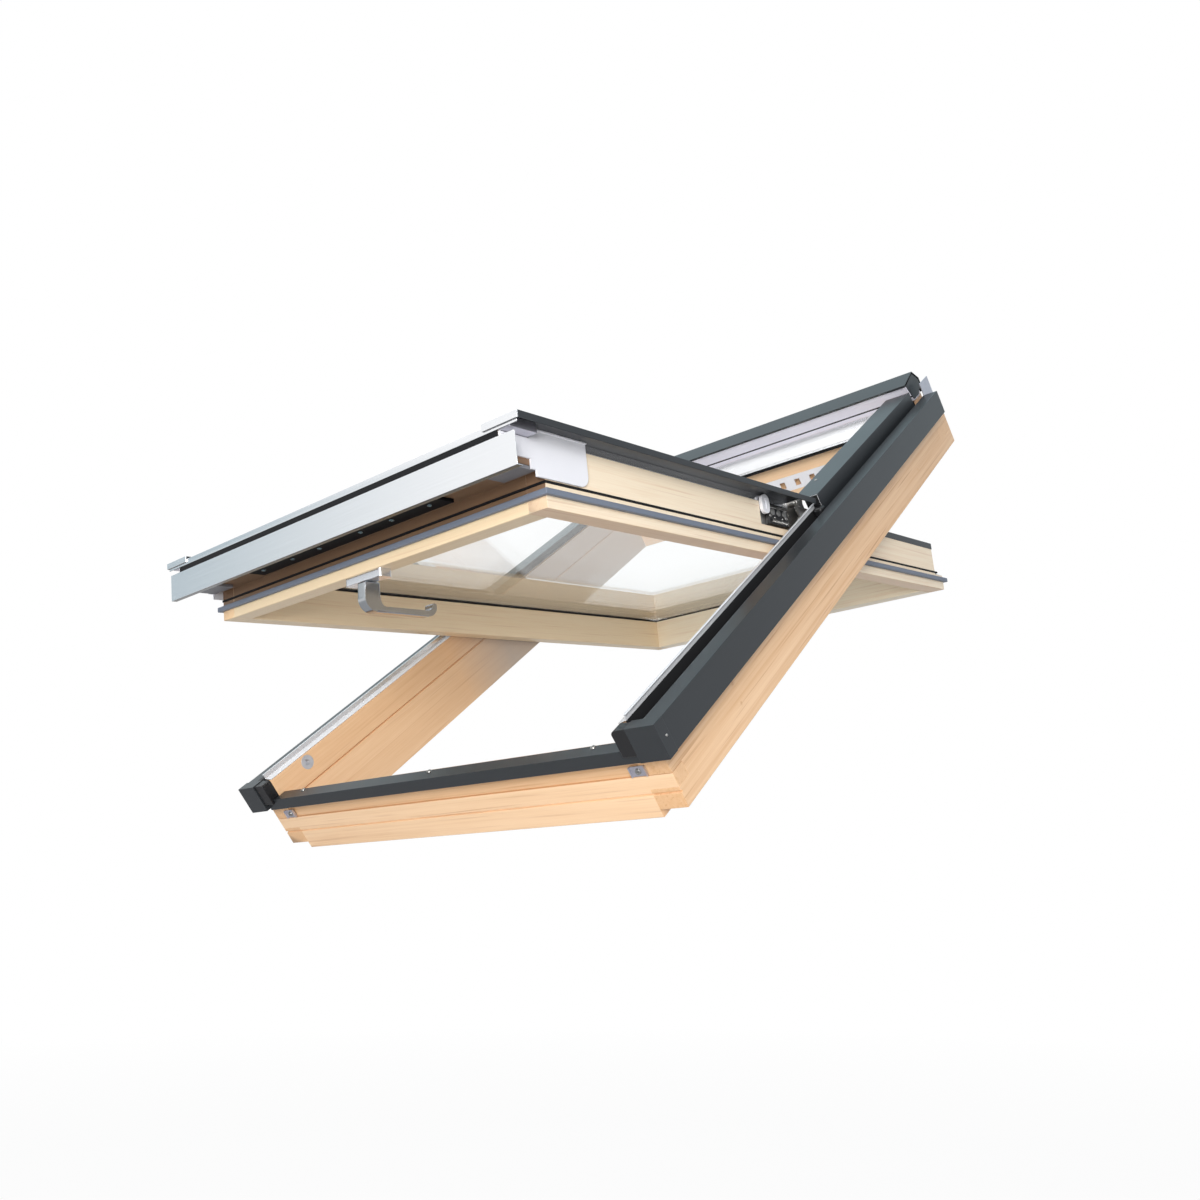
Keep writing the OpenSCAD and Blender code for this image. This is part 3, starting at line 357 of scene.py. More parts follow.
class WindowFinishes(bpy.types.PropertyGroup):
    """Colours and sizes of the finishes."""

    pine_frame: FloatVectorProperty(
        name="Pine of the frame", description="Pale wood between the growth lines", subtype="COLOR",
        size=3, min=0.0, max=1.0, default=(0.95, 0.66, 0.41))
    pine_sash: FloatVectorProperty(
        name="Pine of the sash", description="Pale wood of the sash", subtype="COLOR",
        size=3, min=0.0, max=1.0, default=(0.88, 0.70, 0.46))
    pine_pale: FloatVectorProperty(
        name="Pine, palest", description="Creamy wood of the right stile", subtype="COLOR",
        size=3, min=0.0, max=1.0, default=(1.0, 0.85, 0.64))
    pine_top: FloatVectorProperty(
        name="Pine of the top rail", description="Very pale wood of the sash's top rail", subtype="COLOR",
        size=3, min=0.0, max=1.0, default=(0.96, 0.84, 0.63))
    # Painted shade: the dark brown on the wood under the sash's nose
    pine_nose_shade: FloatVectorProperty(
        name="Pine, stained", description="Wood under the sash's nose, with painted shade", subtype="COLOR",
        size=3, min=0.0, max=1.0, default=(0.20, 0.11, 0.06))
    # Painted shade: the grey on the left jamb's inner face behind the glass
    pine_shade: FloatVectorProperty(
        name="Pine, shaded", description="Wood of the left jamb behind the glass, with painted shade", subtype="COLOR",
        size=3, min=0.0, max=1.0, default=(0.44, 0.43, 0.41))
    pine_late: FloatVectorProperty(
        name="Pine, late wood", description="Darker growth lines", subtype="COLOR",
        size=3, min=0.0, max=1.0, default=(0.72, 0.40, 0.18))
    pine_resin: FloatVectorProperty(
        name="Pine, resin streaks", description="Reddish streaks along the grain", subtype="COLOR",
        size=3, min=0.0, max=1.0, default=(0.52, 0.22, 0.08))
    ring_width: FloatProperty(
        name="Growth ring", description="Width of one growth ring", subtype="DISTANCE", unit="LENGTH",
        min=0.001, max=0.02, default=0.0052)
    sheet_grey: FloatVectorProperty(
        name="Cover sheet", description="Coated aluminium of the covers", subtype="COLOR",
        size=3, min=0.0, max=1.0, default=(0.023, 0.026, 0.029))
    bright: FloatVectorProperty(
        name="Bright sheet", description="Bare bright aluminium", subtype="COLOR",
        size=3, min=0.0, max=1.0, default=(0.97, 0.98, 1.0))
    zinc: FloatVectorProperty(
        name="Zinc", description="Galvanised clips and gutter", subtype="COLOR",
        size=3, min=0.0, max=1.0, default=(0.66, 0.65, 0.72))
    steel: FloatVectorProperty(
        name="Steel", description="Screws and hinge plates", subtype="COLOR",
        size=3, min=0.0, max=1.0, default=(0.46, 0.45, 0.43))
    screw: FloatVectorProperty(
        name="Dark screw", description="Blackened screws of the lock rail", subtype="COLOR",
        size=3, min=0.0, max=1.0, default=(0.22, 0.33, 0.37))
    rose: FloatVectorProperty(
        name="Rose", description="Light satin metal of the handle's rose", subtype="COLOR",
        size=3, min=0.0, max=1.0, default=(0.80, 0.81, 0.85))
    lever: FloatVectorProperty(
        name="Lever", description="Darker satin metal of the lever", subtype="COLOR",
        size=3, min=0.0, max=1.0, default=(0.46, 0.48, 0.50))
    pale_plastic: FloatVectorProperty(
        name="Pale plastic", description="Corner covers and grille", subtype="COLOR",
        size=3, min=0.0, max=1.0, default=(0.80, 0.80, 0.83))
    grey_plastic: FloatVectorProperty(
        name="Grey plastic", description="Seal blocks", subtype="COLOR",
        size=3, min=0.0, max=1.0, default=(0.20, 0.20, 0.215))
    seal_grey: FloatVectorProperty(
        name="Lip seal", description="Blue-grey lip seal of the sash", subtype="COLOR",
        size=3, min=0.0, max=1.0, default=(0.16, 0.185, 0.235))
    glass_tint: FloatVectorProperty(
        name="Glass", description="Tint of one pane", subtype="COLOR",
        size=3, min=0.0, max=1.0, default=(0.997, 1.0, 1.0))


class WindowStudio(bpy.types.PropertyGroup):
    """Camera, lamps and floor."""

    camera_at: FloatVectorProperty(
        name="Camera", description="Where the camera stands", subtype="TRANSLATION", unit="LENGTH",
        size=3, default=(1.101, -0.974, -0.1285))
    camera_to: FloatVectorProperty(
        name="Aim", description="Direction in which the camera looks", subtype="DIRECTION",
        size=3, default=(-0.6311, 0.7162, 0.2980))
    lens: FloatProperty(
        name="Lens", description="Focal length in millimetres on a 36 mm sensor",
        min=10.0, max=200.0, default=31.56)
    floor_z: FloatProperty(
        name="Floor", description="Height of the floor", subtype="DISTANCE", unit="LENGTH",
        min=-3.0, max=0.0, default=-0.75)
    ambient: FloatVectorProperty(
        name="Ambient", description="Even light of the room", subtype="COLOR",
        size=3, min=0.0, max=1.0, default=(0.46, 0.48, 0.52))
    front_band: FloatVectorProperty(
        name="Mirrored front", description="What metal mirrors in a low band in front", subtype="COLOR",
        size=3, min=0.0, max=1.0, default=(0.36, 0.46, 0.51))
    zenith: FloatVectorProperty(
        name="Mirrored zenith", description="What metal mirrors high up behind", subtype="COLOR",
        size=3, min=0.0, max=1.0, default=(0.70, 0.92, 1.0))
    dark_side: FloatVectorProperty(
        name="Mirrored side", description="What metal mirrors on the right", subtype="COLOR",
        size=3, min=0.0, max=1.0, default=(0.62, 0.64, 0.67))
    key_power: FloatProperty(
        name="Key lamp", description="Power of the large front lamp", subtype="POWER", unit="POWER",
        min=0.0, max=500.0, default=105.0)
    fill_power: FloatProperty(
        name="Top lamp", description="Power of the lamp above", subtype="POWER", unit="POWER",
        min=0.0, max=500.0, default=24.0)


def finishes():
    """The finishes that the user has set."""
    return bpy.context.scene.window_finishes


def finished_mesh(bm, name):
    """The mesh of a bmesh, which is freed."""
    mesh = bpy.data.meshes.new(name)
    bm.to_mesh(mesh)
    bm.free()
    mesh.shade_smooth()
    return mesh


def eased_mesh(node, width, segments):
    """A clean copy of a node's mesh with its long edges rounded."""
    bm = bmesh.new()
    bm.from_mesh(frame["nodes"][node].data)
    bmesh.ops.remove_doubles(bm, verts=bm.verts, dist=WELD)
    bmesh.ops.dissolve_limit(bm, angle_limit=FLAT_ANGLE, verts=bm.verts, edges=bm.edges)
    rounded = [e for e in bm.edges if len(e.link_faces) == 2 and e.calc_face_angle(0.0) > EDGE_ANGLE
               and e.calc_length() > LONG_EDGE * width]
    if rounded:
        bmesh.ops.bevel(bm, geom=rounded, offset=width, segments=segments, profile=0.5, affect="EDGES",
                        clamp_overlap=False)
    mesh = finished_mesh(bm, node + "_eased")
    mesh.set_sharp_from_angle(angle=SHARP_ANGLE)
    return mesh


def dress(node, finish, width, segments=2):
    """Puts an eased copy of a node in its place, with a finish."""
    piece = bpy.data.objects.new(node + ".piece", eased_mesh(node, width, segments))
    bpy.context.scene.collection.objects.link(piece)
    piece.data.materials.append(finish.material)
    even = piece.modifiers.new("Even normals", "WEIGHTED_NORMAL")
    even.keep_sharp = True
    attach(piece, frame["nodes"][node]["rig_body"])
    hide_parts(node)


def spread(node, tilt):
    """Lowest and highest corner of a node, in axes tilted about X."""
    turn = Matrix.Rotation(-tilt, 3, "X")
    points = [turn @ v.co for v in frame["nodes"][node].data.vertices]
    return [Vector(pick(p[i] for p in points) for i in range(3)) for pick in (min, max)]


def painted_timber_shade(node, tilt, finish, colour):
    """Painted shade on single pieces: the left jamb's inner face behind the glass, the right stile's faces
    turned down, and the wood under the sash's nose.
    """
    look = finishes()
    _, y, z = finish.place.parts()
    nx, _, nz = finish.normal.parts()
    if node == "left_jamb":
        # Painted shade on the left jamb's inner face behind the glass
        shade_behind_glass = y.ramp(*SHADE_BEHIND_GLASS_Y) * (nx > HALF_TURNED)
        colour = (shade_behind_glass * SHADE_BEHIND_GLASS_SHARE).towards(colour, look.pine_shade)
    if node == "right_stile":
        # Painted shade on the right stile's faces turned down
        shaded_underside = nz < -TURNED
        colour = (shaded_underside * UNDERSIDE_SHADE_SHARE).towards(colour, look.pine_late)
    if node in SASH_TIMBER:
        low = spread("sash_bottom_rail", tilt)[0]
        # Painted shade, dark brown, on the wood under the sash's nose
        shaded_nose = (y < low.y + NOSE_SHADE_DEEP) * (z > low.z + NOSE_SHADE_Z)
        if not node.endswith("rail"):
            shaded_nose = shaded_nose * (abs(nx) < HALF_TURNED)
        colour = (shaded_nose * NOSE_SHADE_SHARE).towards(colour, look.pine_nose_shade)
    return colour


def timber_finish(node, tilt, seed, early, warmth, figure, line=None):
    """Lacquered pine whose grain runs along the piece; above a line its wood turns darker, a real tone on the
    left jamb and painted shadow of the sill cladding on the bottom rail.
    """
    look = finishes()
    level = node.endswith("rail")
    finish = Finish("Pine " + node, tilt)
    x, y, z = finish.place.parts()
    nx, ny, _ = finish.normal.parts()
    along, across = (x, y) if level else (y, x)
    end_face = abs(nx if level else ny) > TURNED

    def veins(stretch, detail, roughness=0.5, shift=seed):
        """Noise drawn out along the grain."""
        place = finish.joined(along * stretch[0] + shift, across * stretch[1], z * stretch[1])
        return place.noise(scale=1.0, detail=detail, roughness=roughness)

    drift = veins(DRIFT, detail=2.0)
    patches = veins(PATCHES, detail=2.0)
    streak = veins(STREAKS, detail=3.0, roughness=0.55)
    fibre = veins(FIBRES, detail=2.0, roughness=0.6, shift=0.0)
    resin = veins(RESIN, detail=1.0)
    heart_across, heart_deep = (place + step * seed for place, step in zip(HEART, HEART_STEP))
    radius = ((across + heart_across) ** 2.0 + (z + heart_deep) ** 2.0) ** 0.5 + drift * DRIFT_WIDTH
    ring = (radius / look.ring_width).math("FRACT")
    late = (ring ** 3.0) * (1.0 - (ring > RING_END))
    grain = late * LATE_SHARE + (streak - 0.5) * STREAK_SHARE
    depth = grain * figure + (fibre - 0.5) * FIBRE_SHARE + (patches - 0.5) * PATCH_SHARE + warmth
    if line:
        line_z, warmth_and_shadow = line
        # Above the line: a real tone on the left jamb, painted shadow of the sill cladding on the bottom rail
        depth = depth + (z > line_z) * warmth_and_shadow
    colour = depth.clamped().towards(early, look.pine_late)
    if line:
        # Painted shade line along the left jamb's groove and the bottom rail's recess step
        line_shade = abs(z - line_z) < LINE_SHADE_HALF
        colour = (line_shade * LINE_SHADE_SHARE).towards(colour, look.pine_resin)
    colour = (resin.ramp(*RESIN_RANGE) * RESIN_SHARE * figure).towards(colour, look.pine_resin)
    colour = (end_face * END_SHARE).towards(colour, look.pine_late)
    colour = painted_timber_shade(node, tilt, finish, colour)
    finish.bump(late * 0.5 + fibre * 0.5, strength=0.12, distance=0.25 * MM)
    return finish.set(Base_Color=colour, Roughness=0.38 + fibre * 0.16, Coat_Weight=0.1, Coat_Roughness=0.25)


def sheet_finish(name, tilt, channel=False, cut_ends=False):
    """Satin coated sheet with a faint grain; painted shade, black, inside the channel; bare metal on cut
    ends.
    """
    look = finishes()
    finish = Finish(name, tilt)
    cloud = finish.place.noise(scale=6.0, detail=2.0)
    grain = finish.place.noise(scale=900.0, detail=2.0)
    lighter = toned(look.sheet_grey, 1.35)
    colour = (cloud * 0.6 + grain * 0.25).clamped().towards(look.sheet_grey, lighter)
    rough = 0.30 + cloud * 0.10
    if channel:
        # Painted shade: black inside the channel
        inside = abs(finish.place.parts()[0]) < CHANNEL_X
        colour = inside.towards(colour, BLACK)
        rough = rough + inside * 0.4
    if cut_ends:
        cut = abs(finish.normal.parts()[1]) > SQUARE_CUT
        colour = cut.towards(colour, look.bright)
    finish.bump(grain, strength=0.08, distance=0.08 * MM)
    return finish.set(Base_Color=colour, Roughness=rough, Specular_IOR_Level=0.42)


def bright_finish(name, tilt, level, mirror, lined):
    """Bright aluminium with fine rolling lines along the strip, with painted shade in dark grey on faces
    turned down.
    """
    look = finishes()
    finish = Finish(name, tilt)
    x, y, z = finish.place.parts()
    along, across = (x, y) if level else (y, x)
    pitch = ROLLED_LEVEL if level else ROLLED_SLOPE
    lines = finish.joined(along * ROLLED_ALONG, across * pitch, z * pitch).noise(scale=1.0, detail=2.0)
    nz = finish.normal.parts()[2]
    # Painted shade: faces turned down get the dark grey of the cover sheet
    shaded_underside = nz < -TURNED
    if not level:
        mirror = mirror * (1.0 - (nz > TURNED_UP) * TOP_DULLING)
    metal = lines.towards(toned(look.bright, 0.9), look.bright)
    colour = shaded_underside.towards(metal, look.sheet_grey)
    finish.bump(lines, lined, distance=0.05 * MM)
    return finish.set(Base_Color=colour, Metallic=mirror, Roughness=0.16 + lines * 0.10)


def gutter_finish():
    """Zinc strip with a row of small weep holes along its lower edge, drawn as black dots of painted shade.
    """
    look = finishes()
    finish = Finish("Zinc gutter", FRAME_TILT)
    x, _, z = finish.place.parts()
    patch = finish.place.noise(scale=60.0, detail=4.0, roughness=0.6)
    beat = (x / WEEP_PITCH).math("FRACT") - 0.5
    away = ((beat * WEEP_PITCH) ** 2.0 + (z - WEEP_Z) ** 2.0) ** 0.5
    colour = patch.towards(toned(look.zinc, 1.28), toned(look.zinc, 1.38))
    # Painted shade: black dots where the weep holes are
    colour = (away < WEEP_R).towards(colour, BLACK)
    return finish.set(Base_Color=colour, Metallic=0.15, Roughness=0.34 + patch * 0.12)


def brake_finish():
    """Black brake block whose buttons are bare steel."""
    finish = Finish("Brake block")
    grain = finish.place.noise(scale=500.0, detail=2.0)
    button = abs(finish.place.parts()[0]) > BUTTON_X
    black = grain.towards(BLACK, (0.016, 0.016, 0.017))
    colour = button.towards(black, finishes().steel)
    return finish.set(Base_Color=colour, Metallic=button, Roughness=0.30 + grain * 0.1)


def metal_finish(name, colour, rough, scale, uneven=0.28):
    """Plain metal with small patches of tone."""
    finish = Finish(name)
    patch = finish.place.noise(scale, detail=4.0, roughness=0.6)
    tone = patch.towards(toned(colour, 1.0 - uneven), colour)
    finish.bump(patch, 0.2 * uneven, distance=0.06 * MM)
    return finish.set(Base_Color=tone, Metallic=0.9, Roughness=rough + patch * uneven * 0.5)


def plastic_finish(name, colour, rough, scale, gloss=0.5):
    """Moulded plastic or rubber with a fine grain."""
    finish = Finish(name)
    grain = finish.place.noise(scale, detail=2.0)
    cloud = finish.place.noise(scale=9.0, detail=2.0)
    lighter = tuple(min(1.0, 1.15 * c + 0.003) for c in colour)
    finish.bump(grain, strength=0.1, distance=0.08 * MM)
    return finish.set(Base_Color=cloud.towards(colour, lighter), Roughness=rough + grain * 0.12,
                      Specular_IOR_Level=gloss)


def glass_finish(node, mirror, clear_share):
    """Clear float glass with a painted reflection mask: its mirror share is set by place, so what it mirrors
    shows most along the far stile and the top rail.
    """
    finish = Finish("Clear glass " + node, SASH_TILT)
    x, y, _ = finish.place.parts()
    low, high = spread(node, SASH_TILT)
    smear = finish.place.noise(scale=4.0, detail=2.0)
    # Painted reflection mask: the mirror share is set by place
    far_side = x.ramp(low.x + FAR_SIDE + MIRROR_EDGE, low.x + FAR_SIDE - MIRROR_EDGE)
    far_end = y.ramp(high.y - FAR_END - MIRROR_EDGE, high.y - FAR_END + MIRROR_EDGE)
    share = far_side.greater(far_end) * mirror + clear_share + smear * SMEAR_SHARE
    finish.set(Base_Color=(0.98, 0.99, 0.99), Metallic=1.0, Roughness=0.02)
    clear = finish.start.node("ShaderNodeBsdfTransparent", None, {"Color": finishes().glass_tint})
    return finish.blended(share, clear, finish.start)


class ROOFWINDOW_OT_timber(bpy.types.Operator):
    """Pine frame and sash, with the grain along each piece"""

    bl_idname = "roof_window.timber"
    bl_label = "Timber"

    edge = 0.6 * MM
    warmth = {"left_jamb": 0.38, "right_jamb": 0.36, "bottom_rail": 0.04, "top_rail": 0.0}
    plain_warmth = 0.03
    figure = {"right_jamb": 1.25, "bottom_rail": 0.9, "top_rail": 0.7}
    plain_figure = 0.5
    # Lines above which the wood darkens: a real tone on the left jamb, painted shadow of the sill cladding on
    # the bottom rail
    lines = {"left_jamb": (JAMB_LINE_Z, 0.14), "bottom_rail": (RECESS_SHADOW_Z, 0.55)}

    def execute(self, context):
        look = finishes()
        own_wood = {"right_stile": look.pine_pale, "sash_top_rail": look.pine_top}
        for seed, node in enumerate(FRAME_TIMBER + SASH_TIMBER):
            fixed = node in FRAME_TIMBER
            tilt, early = (FRAME_TILT, look.pine_frame) if fixed else (SASH_TILT, look.pine_sash)
            finish = timber_finish(node, tilt, seed, own_wood.get(node, early),
                                   self.warmth.get(node, self.plain_warmth),
                                   self.figure.get(node, self.plain_figure), self.lines.get(node))
            dress(node, finish, self.edge)
        return {"FINISHED"}


class ROOFWINDOW_OT_covers(bpy.types.Operator):
    """Coated sheet covers of the frame and the sash"""

    bl_idname = "roof_window.covers"
    bl_label = "Sheet covers"

    edge = 0.55 * MM
    edge_steps = 3

    def execute(self, context):
        for nodes, tilt in ((FRAME_SHEETS, FRAME_TILT), (SASH_SHEETS, SASH_TILT)):
            for node in nodes:
                finish = sheet_finish("Coated " + node, tilt, node in CHANNELS, node in CUT_ENDS)
                dress(node, finish, self.edge, self.edge_steps)
        return {"FINISHED"}


class ROOFWINDOW_OT_bright(bpy.types.Operator):
    """Bright aluminium strips and the large front plate"""

    bl_idname = "roof_window.bright"
    bl_label = "Bright strips"

    edge = 0.4 * MM
    mirror = 0.95
    dull_mirror = {"right_upstand": 0.35}
    level_lines = 0.04
    slope_lines = 0.01

    def execute(self, context):
        for node in BRIGHT_SLOPES + BRIGHT_LEVELS:
            body = frame["nodes"][node]["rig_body"]
            tilt = FRAME_TILT if body == "frame" else SASH_TILT
            level = node in BRIGHT_LEVELS
            mirror = self.dull_mirror.get(node, self.mirror)
            lined = self.level_lines if level else self.slope_lines
            finish = bright_finish("Bright " + node, tilt, level, mirror, lined)
            dress(node, finish, self.edge)
        return {"FINISHED"}


class ROOFWINDOW_OT_fittings(bpy.types.Operator):
    """Zinc clips and gutter, steel hinges, brakes and screws"""

    bl_idname = "roof_window.fittings"
    bl_label = "Fittings"

    folded_edge = 0.35 * MM
    steel_edge = 0.2 * MM
    screw_edge = 0.3 * MM
    brake_edge = 0.6 * MM

    def execute(self, context):
        look = finishes()
        zinc = metal_finish("Zinc", look.zinc, rough=0.30, scale=60.0)
        steel = metal_finish("Steel", look.steel, rough=0.24, scale=120.0)
        screws = metal_finish("Dark screws", look.screw, rough=0.10, scale=300.0)
        bush = metal_finish("Bush", look.rose, rough=0.40, scale=60.0)
        for node in ZINC:
            dress(node, zinc, self.folded_edge)
        for node in STEEL:
            dress(node, steel, self.steel_edge)
        dress("lock_screws", screws, self.screw_edge, segments=3)
        dress("bolt_bush", bush, self.folded_edge)
        dress("head_gutter", gutter_finish(), self.folded_edge)
        dress("friction_blocks", brake_finish(), self.brake_edge)
        return {"FINISHED"}


class ROOFWINDOW_OT_handle(bpy.types.Operator):
    """Satin lever handle and its rose"""

    bl_idname = "roof_window.handle"
    bl_label = "Handle"

    rose_edge = 2.2 * MM
    lever_edge = 2.6 * MM
    edge_steps = 4

    def execute(self, context):
        look = finishes()
        rose = metal_finish("Satin rose", look.rose, rough=0.20, scale=60.0, uneven=0.05)
        lever = metal_finish("Satin lever", look.lever, rough=0.12, scale=60.0, uneven=0.05)
        dress("handle_rose", rose, self.rose_edge, self.edge_steps)
        dress("handle_lever", lever, self.lever_edge, self.edge_steps)
        return {"FINISHED"}


class ROOFWINDOW_OT_plastics(bpy.types.Operator):
    """Seals, plastic blocks, corner covers and the vent grille"""

    bl_idname = "roof_window.plastics"
    bl_label = "Seals and plastics"

    def execute(self, context):
        look = finishes()
        # Nodes, edge radius, name, colour, roughness, grain per metre and gloss
        groups = (
            (BLACK_PLASTIC, 0.8 * MM, "Black plastic", BLACK, 0.34, 500.0, 0.5),
            (("lock_rail",), 0.6 * MM, "Lock rail", BLACK, 0.55, 500.0, 0.12),
            (BLACK_RUBBER, 0.3 * MM, "Black rubber", BLACK, 0.55, 700.0, 0.2),
            (PALE_PLASTIC, 0.2 * MM, "Pale plastic", look.pale_plastic, 0.34, 800.0, 0.5),
            (("seal_blocks",), 0.6 * MM, "Grey plastic", look.grey_plastic, 0.45, 500.0, 0.5),
            (("lip_seal",), 1.2 * MM, "Lip seal", look.seal_grey, 0.48, 600.0, 0.5),
        )
        for nodes, edge, *look_of in groups:
            finish = plastic_finish(*look_of)
            for node in nodes:
                dress(node, finish, edge)
        return {"FINISHED"}


class ROOFWINDOW_OT_glass(bpy.types.Operator):
    """Two clear panes"""

    bl_idname = "roof_window.glass"
    bl_label = "Glass"

    edge = 0.5 * MM
    mirror = {"inner_pane": (0.42, 0.13), "outer_pane": (0.04, 0.03)}

    def execute(self, context):
        for node in PANES:
            dress(node, glass_finish(node, *self.mirror[node]), self.edge)
        return {"FINISHED"}


def add_piece(name, body, bm, tilt, finish):
    """A small piece drawn in axes tilted about X, laid into the window's place."""
    mesh = finished_mesh(bm, name)
    mesh.transform(Matrix.Rotation(tilt, 4, "X"))
    mesh.set_sharp_from_angle(angle=SMALL_SHARP_ANGLE)
    mesh.materials.append(finish.material)
    piece = bpy.data.objects.new(name, mesh)
    bpy.context.scene.collection.objects.link(piece)
    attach(piece, body)


def soft_box(bm, low, high, width):
    """Adds a box with well rounded edges."""
    size = Vector(high) - Vector(low)
    middle = (Vector(high) + Vector(low)) / 2
    place = Matrix.Translation(middle) @ Matrix.Diagonal((*size, 1.0))
    made = bmesh.ops.create_cube(bm, size=1.0, matrix=place)
    edges = {edge for vert in made["verts"] for edge in vert.link_edges}
    bmesh.ops.bevel(bm, geom=list(edges), offset=width, segments=4, profile=0.5, affect="EDGES")


def rivet(bm, side, at, radius, height):
    """Adds a domed rivet head that faces away from the middle."""
    turn = Matrix.Rotation(math.radians(90 * side), 4, "Y")
    flat = Matrix.Diagonal((radius, radius, height, 1.0))
    bmesh.ops.create_uvsphere(bm, u_segments=20, v_segments=10, radius=1.0,
                              matrix=Matrix.Translation(at) @ turn @ flat)


def spring(bm, low, high, radius, wire, turns):
    """Adds a coil spring along y between two points."""
    steps, sides = 16, 8
    rings = []
    for i in range(turns * steps + 1):
        share = i / (turns * steps)
        turn = 2 * math.pi * i / steps
        middle = Vector(low).lerp(Vector(high), share)
        out = Vector((math.cos(turn), 0.0, math.sin(turn)))
        ring = []
        for k in range(sides):
            round_wire = 2 * math.pi * k / sides
            reach = out * (radius + wire * math.cos(round_wire))
            rise = Vector((0.0, wire * math.sin(round_wire), 0.0))
            ring.append(bm.verts.new(middle + reach + rise))
        rings.append(ring)
    for first, second in zip(rings, rings[1:]):
        for k in range(sides):
            bm.faces.new((first[k], first[k - 1], second[k - 1], second[k]))
    bm.faces.new(rings[0])
    bm.faces.new(reversed(rings[-1]))


class ROOFWINDOW_OT_small_parts(bpy.types.Operator):
    """Plugs in the side channels, and the springs and rivets of the hinge brakes"""

    bl_idname = "roof_window.small_parts"
    bl_label = "Small parts"

    def execute(self, context):
        look = finishes()
        black = plastic_finish("Channel plug", BLACK, rough=0.30, scale=400.0)
        steel = metal_finish("Brake steel", look.steel, rough=0.14, scale=150.0)
        for side, name in ((1, "right"), (-1, "left")):
            self.plug(side, name, black)
            self.brake(side, name, steel)
        return {"FINISHED"}

    def plug(self, side, name, finish):
        """A rounded plug in the channel, and a block of foam inside the end of the fixed side cover."""
        low, high = spread(name + "_upper_cover", FRAME_TILT)
        jamb_top = spread(name + "_jamb", FRAME_TILT)[1].z
        plug_x = sorted(side * x for x in PLUG_X)
        foam_x = sorted(side * x for x in FOAM_X)
        bm = bmesh.new()
        soft_box(bm, (plug_x[0], low.y + PLUG_Y[0], low.z),
                 (plug_x[1], low.y + PLUG_Y[1], low.z + PLUG_HEIGHT), PLUG_ROUND)
        soft_box(bm, (foam_x[0], low.y + FOAM_Y[0], jamb_top),
                 (foam_x[1], low.y + FOAM_Y[1], high.z - FOAM_UNDER), FOAM_ROUND)
        add_piece(name + "_side_plugs", "frame", bm, FRAME_TILT, finish)

    def brake(self, side, name, finish):
        """Spring, arm and rivets on the face of the brake block."""
        low, high = spread("friction_blocks", SASH_TILT)
        face = high.x - BRAKE_FACE
        sunk = side * (face - BRAKE_SINK)
        arm_x = sorted((sunk, side * (face + ARM_OUT)))
        spring_z = low.z + SPRING_UP
        bm = bmesh.new()
        spring(bm, (sunk, low.y + SPRING_ENDS[0], spring_z), (sunk, high.y - SPRING_ENDS[1], spring_z),
               SPRING_R, SPRING_WIRE, SPRING_TURNS)
        soft_box(bm, (arm_x[0], low.y + ARM_ENDS[0], high.z - ARM_DOWN[0]),
                 (arm_x[1], high.y - ARM_ENDS[1], high.z - ARM_DOWN[1]), ARM_ROUND)
        for y, z, radius in RIVETS:
            rivet(bm, side, (side * face, low.y + y * MM, low.z + z * MM), radius * MM, RIVET_HEIGHT)
        bmesh.ops.recalc_face_normals(bm, faces=bm.faces)
        add_piece(name + "_brake_works", "sash", bm, SASH_TILT, finish)


def area_lamp(name, at, aim, size, power):
    """A soft square lamp that looks at a point."""
    lamp = bpy.data.lights.new(name, "AREA")
    lamp.shape = "SQUARE"
    lamp.size = size
    lamp.energy = power
    holder = bpy.data.objects.new(name, lamp)
    holder.location = at
    holder.rotation_euler = (Vector(aim) - Vector(at)).to_track_quat("-Z", "Y").to_euler()
    bpy.context.scene.collection.objects.link(holder)


